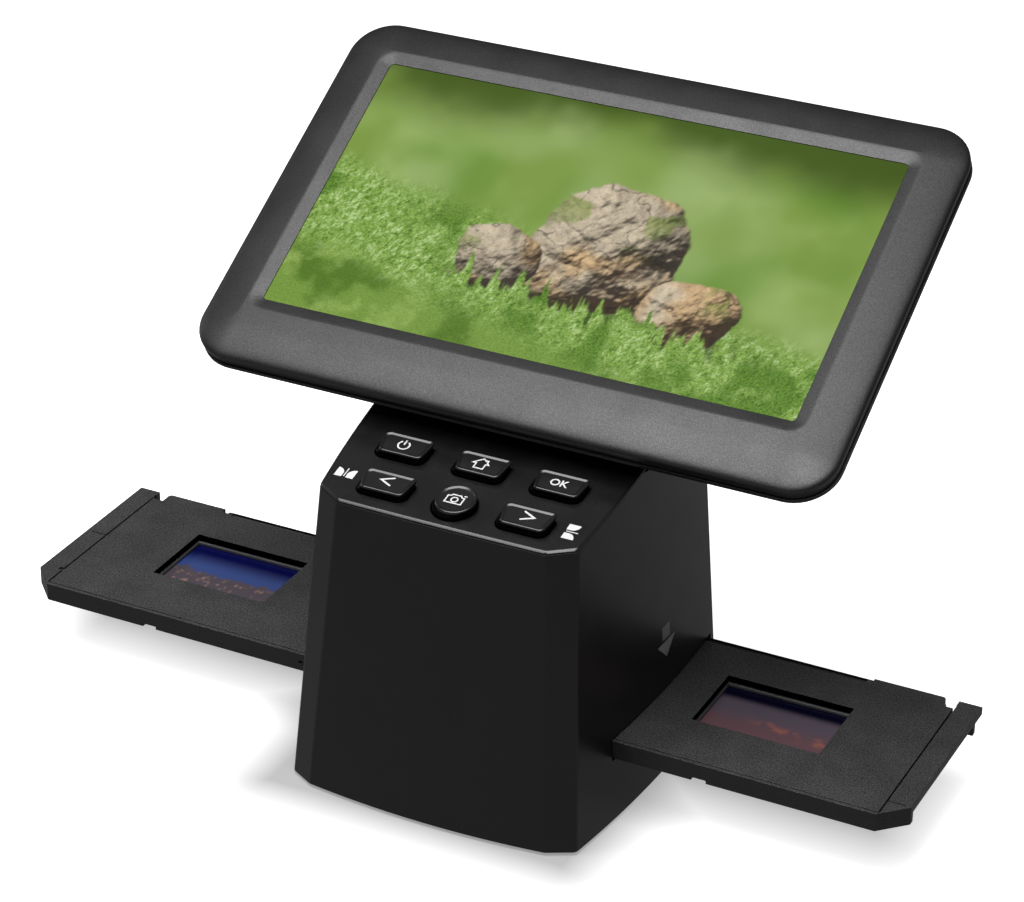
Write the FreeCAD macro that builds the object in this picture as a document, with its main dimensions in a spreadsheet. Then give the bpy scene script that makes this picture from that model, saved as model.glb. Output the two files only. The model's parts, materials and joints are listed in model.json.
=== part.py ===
import FreeCAD, Part
import math
import os
import re
import types

import Sketcher
from FreeCAD import Placement, Rotation, Vector

# Film and slide scanner: a tapering body with six keys on a sloping deck, a tilting display on a
# pin hinge, and one long slide tray that runs through slots in both sides of the body.
# Frame: X to the right, Y to the back, Z up. Everything is worked out from the middle of the
# body's footprint on the table. At the end all of it moves level, so that the origin is under the
# middle of the whole object. All sizes are millimetres, and angles are degrees.

SIZES = [
    # alias, value or formula, what it is
    ("foot_rise", 1.0, "height of the shell's lower edge above the table"),
    ("base_side_half", 46.3, "half width at the widest place, lower edge"),
    ("base_front_reach", 45.3, "front face's ends from the middle, lower edge"),
    ("base_back_reach", 47.7, "back face from the middle, lower edge"),
    ("base_bulge", 2.4, "how far the front face swells, lower edge"),
    ("front_narrow", 4.2, "front side corner inside the widest place, lower edge"),
    ("rear_narrow", 1.1, "rear side corner inside the widest place, lower edge"),
    ("front_cut_side", 7.2, "cut front corner, sideways, lower edge"),
    ("front_cut_back", 3.9, "cut front corner, along Y, lower edge"),
    ("rear_cut_side", 7.2, "cut rear corner, sideways, lower edge"),
    ("rear_cut_front", 5.3, "cut rear corner, along Y"),
    ("base_corner_half", "=base_side_half - front_narrow", "front side corner, lower edge"),
    ("base_front_half", "=base_corner_half - front_cut_side", "front face half, lower edge"),
    ("base_rear_half", "=base_side_half - rear_narrow", "rear side corner, lower edge"),
    ("base_back_half", "=base_rear_half - rear_cut_side", "back face half, lower edge"),
    ("base_corner_reach", "=base_front_reach - front_cut_back", "front side corner along Y"),
    ("base_rear_reach", "=base_back_reach - rear_cut_front", "rear side corner along Y"),
    ("widest_back", 15.6, "widest place of the sides, back from the middle"),
    ("deck_height", 84.7, "height of the key deck's front edge"),
    ("side_taper", 5.7, "how much narrower a side is at deck height"),
    ("front_taper", 8.2, "how far the front leans back up to deck height"),
    ("back_taper", 2.8, "how far the back leans forward up to deck height"),
    ("deck_bulge", 0.2, "how far the front face swells, deck height"),
    ("deck_front_narrow", 3.5, "front side corner inside the widest place, deck height"),
    ("deck_rear_narrow", 0.7, "rear side corner inside the widest place, deck height"),
    ("deck_cut_side", 7.3, "cut front corner, sideways, deck height"),
    ("deck_cut_back", 3.8, "cut front corner, along Y, deck height"),
    ("deck_rear_cut", 6.9, "cut rear corner, sideways, deck height"),
    ("deck_side_half", "=base_side_half - side_taper", "widest place, deck height"),
    ("deck_corner_half", "=deck_side_half - deck_front_narrow", "front side corner, deck"),
    ("deck_front_half", "=deck_corner_half - deck_cut_side", "front face half, deck height"),
    ("deck_rear_half", "=deck_side_half - deck_rear_narrow", "rear side corner, deck height"),
    ("deck_back_half", "=deck_rear_half - deck_rear_cut", "back face half, deck height"),
    ("deck_front_reach", "=base_front_reach - front_taper", "front face, deck height"),
    ("deck_corner_reach", "=deck_front_reach - deck_cut_back", "front side corner, deck"),
    ("deck_back_reach", "=base_back_reach - back_taper", "back face, deck height"),
    ("deck_rear_reach", "=deck_back_reach - rear_cut_front", "rear side corner, deck height"),
    ("deck_slope", 13.0, "slope of the key deck"),
    ("deck_end", 2.0, "rear edge of the key deck, back from the middle"),
    ("deck_thick", 2.0, "thickness of the key deck"),
    ("deck_round", 0.8, "rounding of the key deck's upper edge"),
    ("shell_wall", 2.0, "wall of the shell, rear cover and top cover"),
    ("seam", 0.2, "gap between fixed covers"),
    ("run_gap", 0.3, "gap beside what moves"),
    ("slide_gap", 0.15, "gap under the sliding tray"),
    ("overrun", 5.0, "how far cutters pass the faces they cut"),
    ("plate_thick", 2.0, "base plate thickness"),
    ("plate_lift", 0.3, "base plate above the shell's lower edge"),
    ("foot_radius", 5.5, "rubber foot radius"),
    ("foot_sink", 0.6, "depth of a foot's seat in the base plate"),
    ("foot_in_side", 12.3, "feet in from the sides"),
    ("foot_in_front", 10.3, "front feet in from the front"),
    ("foot_in_back", 11.2, "rear feet in from the back"),
    ("foot_side", "=base_side_half - foot_in_side", "feet from the middle, sideways"),
    ("foot_front", "=base_front_reach - foot_in_front", "front feet from the middle"),
    ("foot_back", "=base_back_reach - foot_in_back", "rear feet from the middle"),
    ("key_width_share", 0.3935, "key cap width as a share of the deck's half width"),
    ("key_front_share", 0.5391, "outer front keys as a share of the deck's half width"),
    ("key_rear_share", 0.6038, "outer rear keys as a share of the deck's half width"),
    ("key_width", "=deck_corner_half * key_width_share", "key cap width"),
    ("key_front_side", "=deck_corner_half * key_front_share", "outer front keys"),
    ("key_rear_side", "=deck_corner_half * key_rear_share", "outer rear keys"),
    ("key_long", 7.8, "key cap size along the slope"),
    ("key_round_radius", 6.3, "round key radius"),
    ("key_proud", 2.4, "key cap above the deck"),
    ("key_corner", 2.2, "key cap corner radius"),
    ("key_edge", 0.7, "rounding of the key caps' upper edge"),
    ("key_flange", 1.2, "flange that keeps a key in"),
    ("round_flange", 0.8, "flange of the round key"),
    ("key_flange_thick", 1.0, "flange thickness"),
    ("key_travel", 0.8, "how far a key goes down"),
    ("key_front_row", 8.4, "front row of keys, up the slope"),
    ("key_rear_row", 23.2, "rear row of keys, up the slope"),
    ("switch_side", 6.0, "switch body side"),
    ("switch_tall", 3.4, "switch body height"),
    ("plunger_radius", 1.7, "switch plunger radius"),
    ("plunger_tall", 0.8, "switch plunger height"),
    ("board_thick", 1.6, "circuit board thickness"),
    ("key_board_edge", 1.3, "key board past the outer keys"),
    ("key_board_half", "=key_rear_side + key_width / 2 + key_board_edge", "key board half"),
    ("key_board_start", 3.0, "key board's lower edge, up the slope"),
    ("key_board_end", 30.5, "key board's upper edge, up the slope"),
    ("post_radius", 1.5, "deck post radius"),
    ("post_front_side", 9.6, "front deck posts from the middle"),
    ("post_rear_side", 11.2, "rear deck posts from the middle"),
    ("slide_count", 4, "slides in the tray"),
    ("slide_side", 50.0, "slide mount side"),
    ("slide_web", 5.4, "tray between two slides, from mount to mount"),
    ("slide_pitch", "=slide_side + slide_web", "slide to slide"),
    ("slide_thick", 1.9, "slide mount thickness"),
    ("slide_play", 0.3, "gap round a slide mount"),
    ("slide_floor", 1.2, "floor under the slides"),
    ("window_in_side", 7.0, "lid window inside the slide's outline, sideways"),
    ("window_in_front", 12.7, "lid window inside the slide's outline, along Y"),
    ("window_wide", "=slide_side - 2 * window_in_side", "lid window width"),
    ("window_long", "=slide_side - 2 * window_in_front", "lid window size along Y"),
    ("aperture_lip", 0.5, "mount aperture inside the lid window"),
    ("aperture_wide", "=window_wide - 2 * aperture_lip", "mount aperture width"),
    ("aperture_long", "=window_long - 2 * aperture_lip", "mount aperture size along Y"),
    ("film_edge", 1.0, "film behind the mount's aperture edge"),
    ("film_wide", "=aperture_wide + 2 * film_edge", "film width"),
    ("film_long", "=aperture_long + 2 * film_edge", "film size along Y"),
    ("film_thick", 0.2, "film thickness"),
    ("film_seat", 0.9, "depth of the film's seat"),
    ("gate_back", 9.4, "optical axis, back from the middle"),
    ("tray_front", 6.5, "tray's near edge from the slides"),
    ("tray_rear", 3.8, "tray's far edge from the slides"),
    ("tray_end", 20.3, "tray past the outer slides' share of its length"),
    ("tray_middle", -8.3, "where the tray's middle stands at rest"),
    ("tray_half", "=slide_count * slide_pitch / 2 + tray_end", "tray half length"),
    ("tray_near", "=gate_back - slide_side / 2 - tray_front", "tray's near edge"),
    ("tray_far", "=gate_back + slide_side / 2 + tray_rear", "tray's far edge"),
    ("tray_bottom", 19.1, "height of the tray's underside"),
    ("tray_thick", 5.3, "tray thickness with its lid"),
    ("tray_chamfer", 7.0, "cut corners at the near edge"),
    ("strip_wide", 6.6, "end strips of the tray base"),
    ("strip_thick", 2.4, "thickness of the end strips past their legs"),
    ("leg_wide", 1.8, "legs under the end strips"),
    ("leg_near", 7.0, "near legs from the near edge"),
    ("leg_far", 5.2, "far legs from the far edge"),
    ("leg_inset", 5.2, "hollow under an end strip, from the tray's end"),
    ("rim_wide", 1.2, "rim along the near edge"),
    ("lid_thick", 1.9, "lid thickness"),
    ("lid_gap", 0.2, "gap round the lid"),
    ("lid_lift", 0.1, "gap under the lid"),
    ("corner_notch_wide", 3.4, "notches at the far corners, sideways"),
    ("corner_notch_deep", 4.2, "notches at the far corners, along Y"),
    ("lid_round", 1.2, "rounding of the lid's far corners"),
    ("rail_end", 30.7, "hinge rail's ends in from the tray's ends"),
    ("rail_half", "=tray_half - rail_end", "hinge rail half length"),
    ("rail_wide", 2.6, "hinge rail width"),
    ("rail_tall", 1.7, "hinge rail height"),
    ("rail_round", 0.8, "rounding of the hinge rail"),
    ("lid_pin_radius", 0.6, "lid hinge pin radius"),
    ("lid_pin_reach", 4.5, "lid hinge pin past the rail"),
    ("pin_play", 0.05, "radial clearance of pins and bushes"),
    ("detent_side", 7.5, "detent notches from the window middles"),
    ("detent_wide", 4.0, "detent notch width"),
    ("detent_deep", 0.9, "detent notch depth"),
    ("detent_long", 3.0, "detent notch along Y"),
    ("slot_gap", 0.6, "gap round the tray in the side walls"),
    ("channel_in", 6.1, "film gate's ends inside the widest place"),
    ("channel_half", "=base_side_half - channel_in", "film gate half length"),
    ("channel_floor", 2.2, "film gate floor thickness"),
    ("channel_wall", 1.4, "film gate side wall"),
    ("channel_roof", 2.0, "film gate upper plate"),
    ("gate_wide", 40.0, "film gate window width"),
    ("gate_long", 28.0, "film gate window along Y"),
    ("ear_wide", 8.0, "screw ears, width"),
    ("ear_front", 6.0, "front screw ears, depth"),
    ("ear_back", 4.4, "rear screw ears, depth"),
    ("ear_front_side", 30.0, "front ears from the middle"),
    ("ear_back_side", 26.0, "rear ears from the middle"),
    ("leg_radius", 2.2, "film gate leg radius"),
    ("screw_radius", 1.2, "screw shank radius"),
    ("screw_play", 0.08, "gap round a screw shank"),
    ("screw_head", 2.1, "screw head radius"),
    ("screw_head_tall", 1.2, "screw head height"),
    ("gate_screw_long", 12.0, "film gate screw length"),
    ("base_screw_long", 9.0, "base screw length"),
    ("spring_long", 18.0, "detent spring length"),
    ("spring_wide", 3.0, "detent spring width"),
    ("spring_thick", 0.4, "detent spring thickness"),
    ("spring_bump", 0.75, "detent spring bump radius"),
    ("spring_in", 2.2, "detent spring from the tray's near edge"),
    ("lamp_board_half", 30.0, "lamp board half width"),
    ("lamp_board_reach", 26.0, "lamp board half size along Y"),
    ("lamp_board_lift", 2.0, "lamp board above the base plate"),
    ("lamp_side", 3.5, "lamp side"),
    ("lamp_tall", 1.0, "lamp height"),
    ("lamp_pitch", 15.0, "lamp to lamp"),
    ("light_wall", 1.5, "light box wall"),
    ("light_half", 29.0, "light box half width"),
    ("light_reach", 24.0, "light box half size along Y"),
    ("diffuser_thick", 2.0, "diffuser thickness"),
    ("hood_half", 23.0, "light hood half width"),
    ("hood_reach", 18.0, "light hood half size along Y"),
    ("holder_thick", 2.5, "lens holder thickness"),
    ("barrel_radius", 8.0, "lens barrel radius"),
    ("barrel_bore", 6.0, "lens barrel bore"),
    ("barrel_below", 6.0, "lens barrel below the holder"),
    ("barrel_above", 13.5, "lens barrel above the holder"),
    ("barrel_flange", 3.0, "lens barrel flange width"),
    ("barrel_flange_thick", 2.0, "lens barrel flange thickness"),
    ("lens_thick", 3.0, "lens thickness"),
    ("lens_in", 1.5, "lens from the barrel's lower end"),
    ("sensor_board_half", 17.0, "sensor board half side"),
    ("sensor_half", 4.0, "image sensor half side"),
    ("sensor_tall", 1.2, "image sensor height"),
    ("main_board_half", 34.0, "main board half width"),
    ("main_board_in", 11.5, "main board's front face inside the back face"),
    ("main_board_back", "=base_back_reach - main_board_in", "main board's front face"),
    ("board_room", 4.0, "main board's upper edge below the deck's front edge"),
    ("gate_top", "=tray_bottom + tray_thick + run_gap + channel_roof", "film gate's top"),
    ("main_board_tall", "=deck_height - gate_top - board_room", "main board height"),
    ("sensor_room", 13.1, "sensor board below the main board's upper edge"),
    ("camera_tall", "=holder_thick + barrel_above + board_thick", "camera over its hood"),
    ("hood_tall", "=main_board_tall - camera_tall - sensor_room", "light hood height"),
    ("chip_side", 14.0, "processor side"),
    ("memory_side", 9.0, "memory chip side"),
    ("chip_tall", 1.4, "chip height"),
    ("chip_up", 30.0, "chips above the main board's lower edge"),
    ("socket_up", 18.0, "sockets above the main board's lower edge"),
    ("socket_wall", 0.5, "socket shell thickness"),
    ("socket_play", 0.3, "gap round a socket in the rear cover"),
    ("socket_deep", 6.0, "depth of the sockets' mouths"),
    ("socket_inset", 0.4, "sockets behind the rear face"),
    ("usb_wide", 9.2, "power socket width"),
    ("usb_tall", 3.4, "power socket height"),
    ("usb_side", -24.0, "power socket, sideways"),
    ("hdmi_wide", 11.4, "video socket width"),
    ("hdmi_tall", 3.4, "video socket height"),
    ("hdmi_side", -7.0, "video socket, sideways"),
    ("card_wide", 25.6, "card socket width"),
    ("card_tall", 3.2, "card socket height"),
    ("card_side", 17.0, "card socket, sideways"),
    ("hinge_back", 7.0, "display hinge axis, back from the middle"),
    ("hinge_rise", 1.4731, "display hinge axis above the top cover"),
    ("cover_height", "=deck_height + (deck_front_reach + deck_end) * tan(deck_slope)",
     "height of the top cover"),
    ("hinge_height", "=cover_height + hinge_rise", "display hinge axis, height"),
    ("display_tilt", 30.0, "tilt of the display at rest, from level"),
    ("knuckle_radius", 4.2, "hinge knuckle radius"),
    ("knuckle_start", 14.5, "inner end of a knuckle from the middle"),
    ("knuckle_end", 31.5, "outer end of a knuckle from the middle"),
    ("bush_radius", 2.6, "hinge bush radius"),
    ("hinge_pin_radius", 1.5, "hinge pin radius"),
    ("pin_head_radius", 2.3, "hinge pin head radius"),
    ("pin_head_thick", 0.8, "hinge pin head thickness"),
    ("bracket_ear", 2.0, "bracket ear thickness"),
    ("bracket_radius", 3.6, "bracket ear radius"),
    ("bracket_plate", 1.2, "bracket foot thickness"),
    ("well_gap", 1.4, "room in the hinge well beside the knuckle and ears"),
    ("well_wall", 1.2, "hinge well wall"),
    ("well_deep", 6.8, "hinge well floor below the hinge axis"),
    ("well_room", 4.6, "hinge well half size along Y"),
    ("hinge_screw_radius", 1.0, "hinge screw shank radius"),
    ("hinge_screw_head", 1.9, "hinge screw head radius"),
    ("hinge_screw_head_tall", 0.9, "hinge screw head height"),
    ("boss_radius", 2.4, "hinge screw boss radius"),
    ("boss_tall", 4.0, "hinge screw boss height"),
    ("screen_wide", 154.2, "screen width in view"),
    ("screen_tall", 84.4, "screen height in view"),
    ("side_frame", 15.1, "display beside the screen"),
    ("low_frame", 19.8, "display below the screen"),
    ("high_frame", 14.8, "display above the screen"),
    ("hinge_overlap", 10.73, "display below its hinge axis"),
    ("display_half", "=screen_wide / 2 + side_frame", "display half width"),
    ("display_low", "=screen_tall / 2 + low_frame", "display's lower edge from the screen"),
    ("display_high", "=screen_tall / 2 + high_frame", "display's upper edge from the screen"),
    ("screen_up", "=display_low - hinge_overlap", "screen middle above the hinge axis"),
    ("screen_out", 14.22, "screen surface in front of the hinge axis"),
    ("display_corner", 12.0, "display corner radius"),
    ("bezel_front", 1.5, "bezel face in front of the screen"),
    ("bezel_back", 2.5, "bezel's rear edge behind the screen"),
    ("bezel_round", 2.6, "rounding of the bezel's outer edge"),
    ("bezel_slope", 5.5, "sloping band round the screen"),
    ("bezel_lip", 0.4, "bezel thickness at the screen"),
    ("bezel_hold", 3.0, "how far the glass runs under the bezel"),
    ("part_gap", 0.1, "gap between stacked display parts"),
    ("glass_thick", 1.0, "cover glass thickness"),
    ("panel_side", 4.9, "display panel past the screen, sideways"),
    ("panel_end", 6.3, "display panel past the screen, up and down"),
    ("panel_wide", "=screen_wide + 2 * panel_side", "display panel width"),
    ("panel_tall", "=screen_tall + 2 * panel_end", "display panel height"),
    ("panel_thick", 5.0, "display panel thickness"),
    ("panel_play", 0.4, "gap round the display panel"),
    ("frame_thick", 1.8, "middle frame thickness"),
    ("frame_inset", 0.5, "middle frame behind the outer edge"),
    ("back_band", 1.5, "straight band of the display back"),
    ("back_deep", 14.0, "display back's rear face behind the screen"),
    ("back_wall", 2.0, "display back wall"),
    ("back_round", 1.0, "rounding of the display back's rear edge"),
    ("hump_side", 24.2, "rear hump inside the display's sides"),
    ("hump_rise", 12.0, "rear hump above the display's lower edge"),
    ("hump_fall", 13.0, "rear hump below the display's upper edge"),
    ("hump_half", "=display_half - hump_side", "rear hump half width"),
    ("hump_low", "=display_low - hump_rise", "rear hump's lower edge from the screen"),
    ("hump_high", "=display_high - hump_fall", "rear hump's upper edge from the screen"),
    ("hump_corner", 10.0, "rear hump corner radius"),
    ("display_board_side", 18.0, "display board inside the hump, sideways"),
    ("display_board_end", 14.0, "display board inside the hump, up and down"),
    ("display_board_wide", "=2 * (hump_half - display_board_side)", "display board width"),
    ("display_board_tall", "=2 * (hump_high - display_board_end)", "display board height"),
    ("display_screw_in", 12.0, "display screws inside the hump, sideways"),
    ("display_screw_rise", 14.0, "lower display screws above the hump's lower edge"),
    ("display_screw_fall", 10.0, "upper display screws below the hump's upper edge"),
    ("display_screw_side", "=hump_half - display_screw_in", "display screws sideways"),
    ("display_screw_low", "=hump_low - display_screw_rise", "lower display screws"),
    ("display_screw_high", "=hump_high - display_screw_fall", "upper display screws"),
    ("display_boss", 3.2, "display screw boss radius"),
    ("move_right", 0.0, "level move of the whole object to the right, worked out at the end"),
    ("move_back", 0.0, "level move of the whole object to the back, worked out at the end"),
]

doc = FreeCAD.newDocument("film_scanner")
sheet = doc.addObject("Spreadsheet::Sheet", "sizes")
for row, (alias, value, meaning) in enumerate(SIZES, start=1):
    sheet.set("A%d" % row, meaning)
    sheet.set("B%d" % row, str(value))
    sheet.setAlias("B%d" % row, alias)
doc.recompute()

ALIASES = [alias for alias, value, meaning in SIZES]
S = types.SimpleNamespace(**{alias: float(sheet.get(alias)) for alias in ALIASES})
PIECES = []
SAME_PLACE = 0.001
FIRST_GUESS = 1.0


def ex(words):
    """An expression in plain size names, with the sheet's name put before each."""
    def with_sheet(found):
        word = found.group(0)
        return "sizes." + word if word in ALIASES else word
    return re.sub(r"[A-Za-z_]\w*", with_sheet, str(words))


FRAMES = {
    "table": ("0", "0", None),
    "deck": ("-deck_front_reach", "deck_height", "deck_slope"),
    "display": ("hinge_back", "hinge_height", "display_tilt"),
}


def keep(item, name, frame="table"):
    """Name a finished sub-part and place it on the table, the sloping deck or the display."""
    if item.TypeId in ("Part::Box", "Part::Cylinder"):
        holder = doc.addObject("Part::Compound", "holder")
        holder.Links = [item]
        item = holder
    item.Label = name
    back, up, angle = FRAMES[frame]
    if angle:
        item.Placement = Placement(Vector(), Rotation(Vector(1, 0, 0), getattr(S, angle)))
        item.setExpression("Placement.Rotation.Angle", ex(angle))
    item.setExpression("Placement.Base.x", ex("move_right"))
    item.setExpression("Placement.Base.y", ex("move_back + " + back))
    item.setExpression("Placement.Base.z", ex(up))
    PIECES.append(item)
    return item


def block(x0, x1, y0, y1, z0, z1):
    """A box between two corners, each given as an expression."""
    box = doc.addObject("Part::Box", "block")
    box.setExpression("Length", ex("(%s) - (%s)" % (x1, x0)))
    box.setExpression("Width", ex("(%s) - (%s)" % (y1, y0)))
    box.setExpression("Height", ex("(%s) - (%s)" % (z1, z0)))
    box.setExpression("Placement.Base.x", ex(x0))
    box.setExpression("Placement.Base.y", ex(y0))
    box.setExpression("Placement.Base.z", ex(z0))
    return box


def upright(x, y, z0, z1, radius):
    """A round bar along Z."""
    bar = doc.addObject("Part::Cylinder", "upright")
    bar.setExpression("Radius", ex(radius))
    bar.setExpression("Height", ex("(%s) - (%s)" % (z1, z0)))
    bar.setExpression("Placement.Base.x", ex(x))
    bar.setExpression("Placement.Base.y", ex(y))
    bar.setExpression("Placement.Base.z", ex(z0))
    return bar


def crossbar(x0, x1, y, z, radius):
    """A round bar along X."""
    bar = doc.addObject("Part::Cylinder", "crossbar")
    bar.Placement = Placement(Vector(), Rotation(Vector(0, 1, 0), 90))
    bar.setExpression("Radius", ex(radius))
    bar.setExpression("Height", ex("(%s) - (%s)" % (x1, x0)))
    bar.setExpression("Placement.Base.x", ex(x0))
    bar.setExpression("Placement.Base.y", ex(y))
    bar.setExpression("Placement.Base.z", ex(z))
    return bar


def joined(*items):
    """Several objects as one, or as one group of separate solids."""
    fuse = doc.addObject("Part::MultiFuse", "joined")
    fuse.Shapes = list(items)
    fuse.Refine = True
    return fuse


def without(base, *tools):
    """An object with the others cut out of it."""
    cut = doc.addObject("Part::Cut", "without")
    cut.Base = base
    cut.Tool = tools[0] if len(tools) == 1 else joined(*tools)
    cut.Refine = True
    return cut


def ring(x0, x1, y0, y1, z0, z1, wall):
    """A rectangular tube along Z."""
    outside = block(x0, x1, y0, y1, z0, z1)
    inside = block("%s + %s" % (x0, wall), "%s - %s" % (x1, wall), "%s + %s" % (y0, wall),
                   "%s - %s" % (y1, wall), "%s - overrun" % z0, "%s + overrun" % z1)
    return without(outside, inside)


def made_shape(name, shape):
    """A sub-part whose form the primitives can't give, from its finished shape."""
    item = doc.addObject("Part::Feature", name)
    item.Shape = shape
    return item


def new_body():
    """A sketched body."""
    return doc.addObject("PartDesign::Body", "body")


def new_sketch(body, level):
    """A level sketch on the body's own base plane."""
    plane = [item for item in body.Origin.OriginFeatures if item.Role == "XY_Plane"][0]
    sketch = body.newObject("Sketcher::SketchObject", "outline")
    sketch.AttachmentSupport = (plane, "")
    sketch.MapMode = "FlatFace"
    sketch.setExpression("AttachmentOffset.Base.z", ex(level))
    return sketch


def pin_down(sketch, kind, edge, point, start, words):
    """Tie one coordinate of a sketch point to an expression."""
    number = sketch.addConstraint(Sketcher.Constraint(kind, -1, 1, edge, point, start))
    sketch.setExpression("Constraints[%d]" % number, ex(words))


def rectangles(body, level, corners):
    """One sketch of rectangles, each given by two opposite corners."""
    sketch = new_sketch(body, level)
    for x0, x1, y0, y1 in corners:
        first = sketch.GeometryCount
        points = [Vector(-FIRST_GUESS, -FIRST_GUESS, 0), Vector(FIRST_GUESS, -FIRST_GUESS, 0),
                  Vector(FIRST_GUESS, FIRST_GUESS, 0), Vector(-FIRST_GUESS, FIRST_GUESS, 0)]
        for side in range(4):
            sketch.addGeometry(Part.LineSegment(points[side], points[(side + 1) % 4]))
        for side in range(4):
            after = first + (side + 1) % 4
            sketch.addConstraint(Sketcher.Constraint("Coincident", first + side, 2, after, 1))
        for side, kind in enumerate(("Horizontal", "Vertical", "Horizontal", "Vertical")):
            sketch.addConstraint(Sketcher.Constraint(kind, first + side))
        pin_down(sketch, "DistanceX", first, 1, -FIRST_GUESS, x0)
        pin_down(sketch, "DistanceY", first, 1, -FIRST_GUESS, y0)
        pin_down(sketch, "DistanceX", first + 2, 1, FIRST_GUESS, x1)
        pin_down(sketch, "DistanceY", first + 2, 1, FIRST_GUESS, y1)
    return sketch


def discs(body, level, circles):
    """One sketch of circles, each given by its middle and radius."""
    sketch = new_sketch(body, level)
    for x, y, radius in circles:
        middle = Vector(FIRST_GUESS, FIRST_GUESS, 0)
        number = sketch.addGeometry(Part.Circle(middle, Vector(0, 0, 1), FIRST_GUESS))
        pin_down(sketch, "DistanceX", number, 3, FIRST_GUESS, x)
        pin_down(sketch, "DistanceY", number, 3, FIRST_GUESS, y)
        size = sketch.addConstraint(Sketcher.Constraint("Radius", number, FIRST_GUESS))
        sketch.setExpression("Constraints[%d]" % size, ex(radius))
    return sketch


def padded(body, sketch, height):
    """Grow a sketch upwards."""
    pad = body.newObject("PartDesign::Pad", "pad")
    pad.Profile = sketch
    pad.setExpression("Length", ex(height))
    doc.recompute()
    return pad


def pocketed(body, sketch, depth):
    """Cut a sketch downwards, and make sure that it cut something."""
    before = body.Shape.Volume
    pocket = body.newObject("PartDesign::Pocket", "pocket")
    pocket.Profile = sketch
    pocket.setExpression("Length", ex(depth))
    doc.recompute()
    if not pocket.Shape.Volume < before:
        raise RuntimeError("a pocket of %s cuts nothing" % body.Label)
    return pocket


def edge_names(shape, wanted):
    """The names of the edges that a test picks."""
    return ["Edge%d" % (place + 1) for place, edge in enumerate(shape.Edges) if wanted(edge)]


def rounded(body, feature, wanted, radius):
    """Round the picked edges of a body's last feature."""
    fillet = body.newObject("PartDesign::Fillet", "round")
    fillet.Base = (feature, edge_names(feature.Shape, wanted))
    fillet.setExpression("Radius", ex(radius))
    doc.recompute()
    return fillet


def chamfered(body, feature, wanted, width):
    """Cut the picked edges of a body's last feature at an angle."""
    chamfer = body.newObject("PartDesign::Chamfer", "chamfer")
    chamfer.Base = (feature, edge_names(feature.Shape, wanted))
    chamfer.setExpression("Size", ex(width))
    doc.recompute()
    return chamfer


def repeated(body, features, count, pitch):
    """Repeat features along X."""
    pattern = body.newObject("PartDesign::LinearPattern", "row")
    pattern.Originals = features
    axis = [item for item in body.Origin.OriginFeatures if item.Role == "X_Axis"][0]
    pattern.Direction = (axis, [""])
    pattern.setExpression("Length", ex("(%s - 1) * %s" % (count, pitch)))
    pattern.setExpression("Occurrences", ex(count))
    body.Tip = pattern
    doc.recompute()
    return pattern


def upright_edge(edge):
    """True for a straight edge along Z."""
    ends = [vertex.Point for vertex in edge.Vertexes]
    return len(ends) == 2 and (ends[1] - ends[0]).cross(Vector(0, 0, 1)).Length < SAME_PLACE


def at_level(edge, level):
    """True for an edge that lies at one height."""
    box = edge.BoundBox
    return abs(box.ZMin - level) < SAME_PLACE and abs(box.ZMax - level) < SAME_PLACE


# The tapering body

CORNER_INSET_SHARE = 0.5
CHAMFER_INSET_SHARE = 0.25


def share_of(height):
    """How far a height is from the lower edge to the deck's front edge."""
    return (height - S.foot_rise) / (S.deck_height - S.foot_rise)


def between(low, high, height):
    """A size that changes evenly with height."""
    return low + (high - low) * share_of(height)


def outline(height, inset):
    """The body's outline at one height, drawn in by an inset."""
    front_half = between(S.base_front_half, S.deck_front_half, height)
    corner_half = between(S.base_corner_half, S.deck_corner_half, height)
    side_half = between(S.base_side_half, S.deck_side_half, height)
    rear_half = between(S.base_rear_half, S.deck_rear_half, height)
    back_half = between(S.base_back_half, S.deck_back_half, height)
    front = between(S.base_front_reach, S.deck_front_reach, height)
    bulge = between(S.base_bulge, S.deck_bulge, height)
    corner = between(S.base_corner_reach, S.deck_corner_reach, height)
    rear = between(S.base_rear_reach, S.deck_rear_reach, height)
    back = between(S.base_back_reach, S.deck_back_reach, height)
    chamfer_in = inset * CHAMFER_INSET_SHARE
    corner_in = inset * CORNER_INSET_SHARE
    right = [Vector(front_half - chamfer_in, inset - front, height),
             Vector(corner_half - inset, corner_in - corner, height),
             Vector(side_half - inset, S.widest_back, height),
             Vector(rear_half - inset, rear - corner_in, height),
             Vector(back_half - chamfer_in, back - inset, height)]
    left = [Vector(-point.x, point.y, point.z) for point in right]
    nose = Vector(0, inset - front - bulge, height)
    return Part.Wire([Part.Arc(left[0], nose, right[0]).toShape(),
                      Part.makeLine(right[0], right[1]),
                      Part.Arc(right[1], right[2], right[3]).toShape(),
                      Part.makeLine(right[3], right[4]),
                      Part.makeLine(right[4], left[4]),
                      Part.makeLine(left[4], left[3]),
                      Part.Arc(left[3], left[2], left[1]).toShape(),
                      Part.makeLine(left[1], left[0])])


def tapered(low, high, inset):
    """A solid between two heights with the body's taper."""
    return Part.makeLoft([outline(low, inset), outline(high, inset)], True, True)


def side_prism(points):
    """A solid across the whole body, from its side view."""
    half = S.base_side_half + S.overrun
    corners = [Vector(-half, y, z) for y, z in points]
    face = Part.Face(Part.makePolygon(corners + corners[:1]))
    return face.extrude(Vector(2 * half, 0, 0))


slope = math.radians(S.deck_slope)
roof_height = S.cover_height
sky = S.hinge_height + S.overrun
afar = S.base_back_reach + S.base_back_reach
plate_low = S.foot_rise + S.plate_lift
plate_high = plate_low + S.plate_thick


def deck_under(y):
    """Height of the covers' upper edge under the sloping deck."""
    top = S.deck_height + (y + S.deck_front_reach) * math.tan(slope)
    return top - S.deck_thick / math.cos(slope) - S.seam


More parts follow.
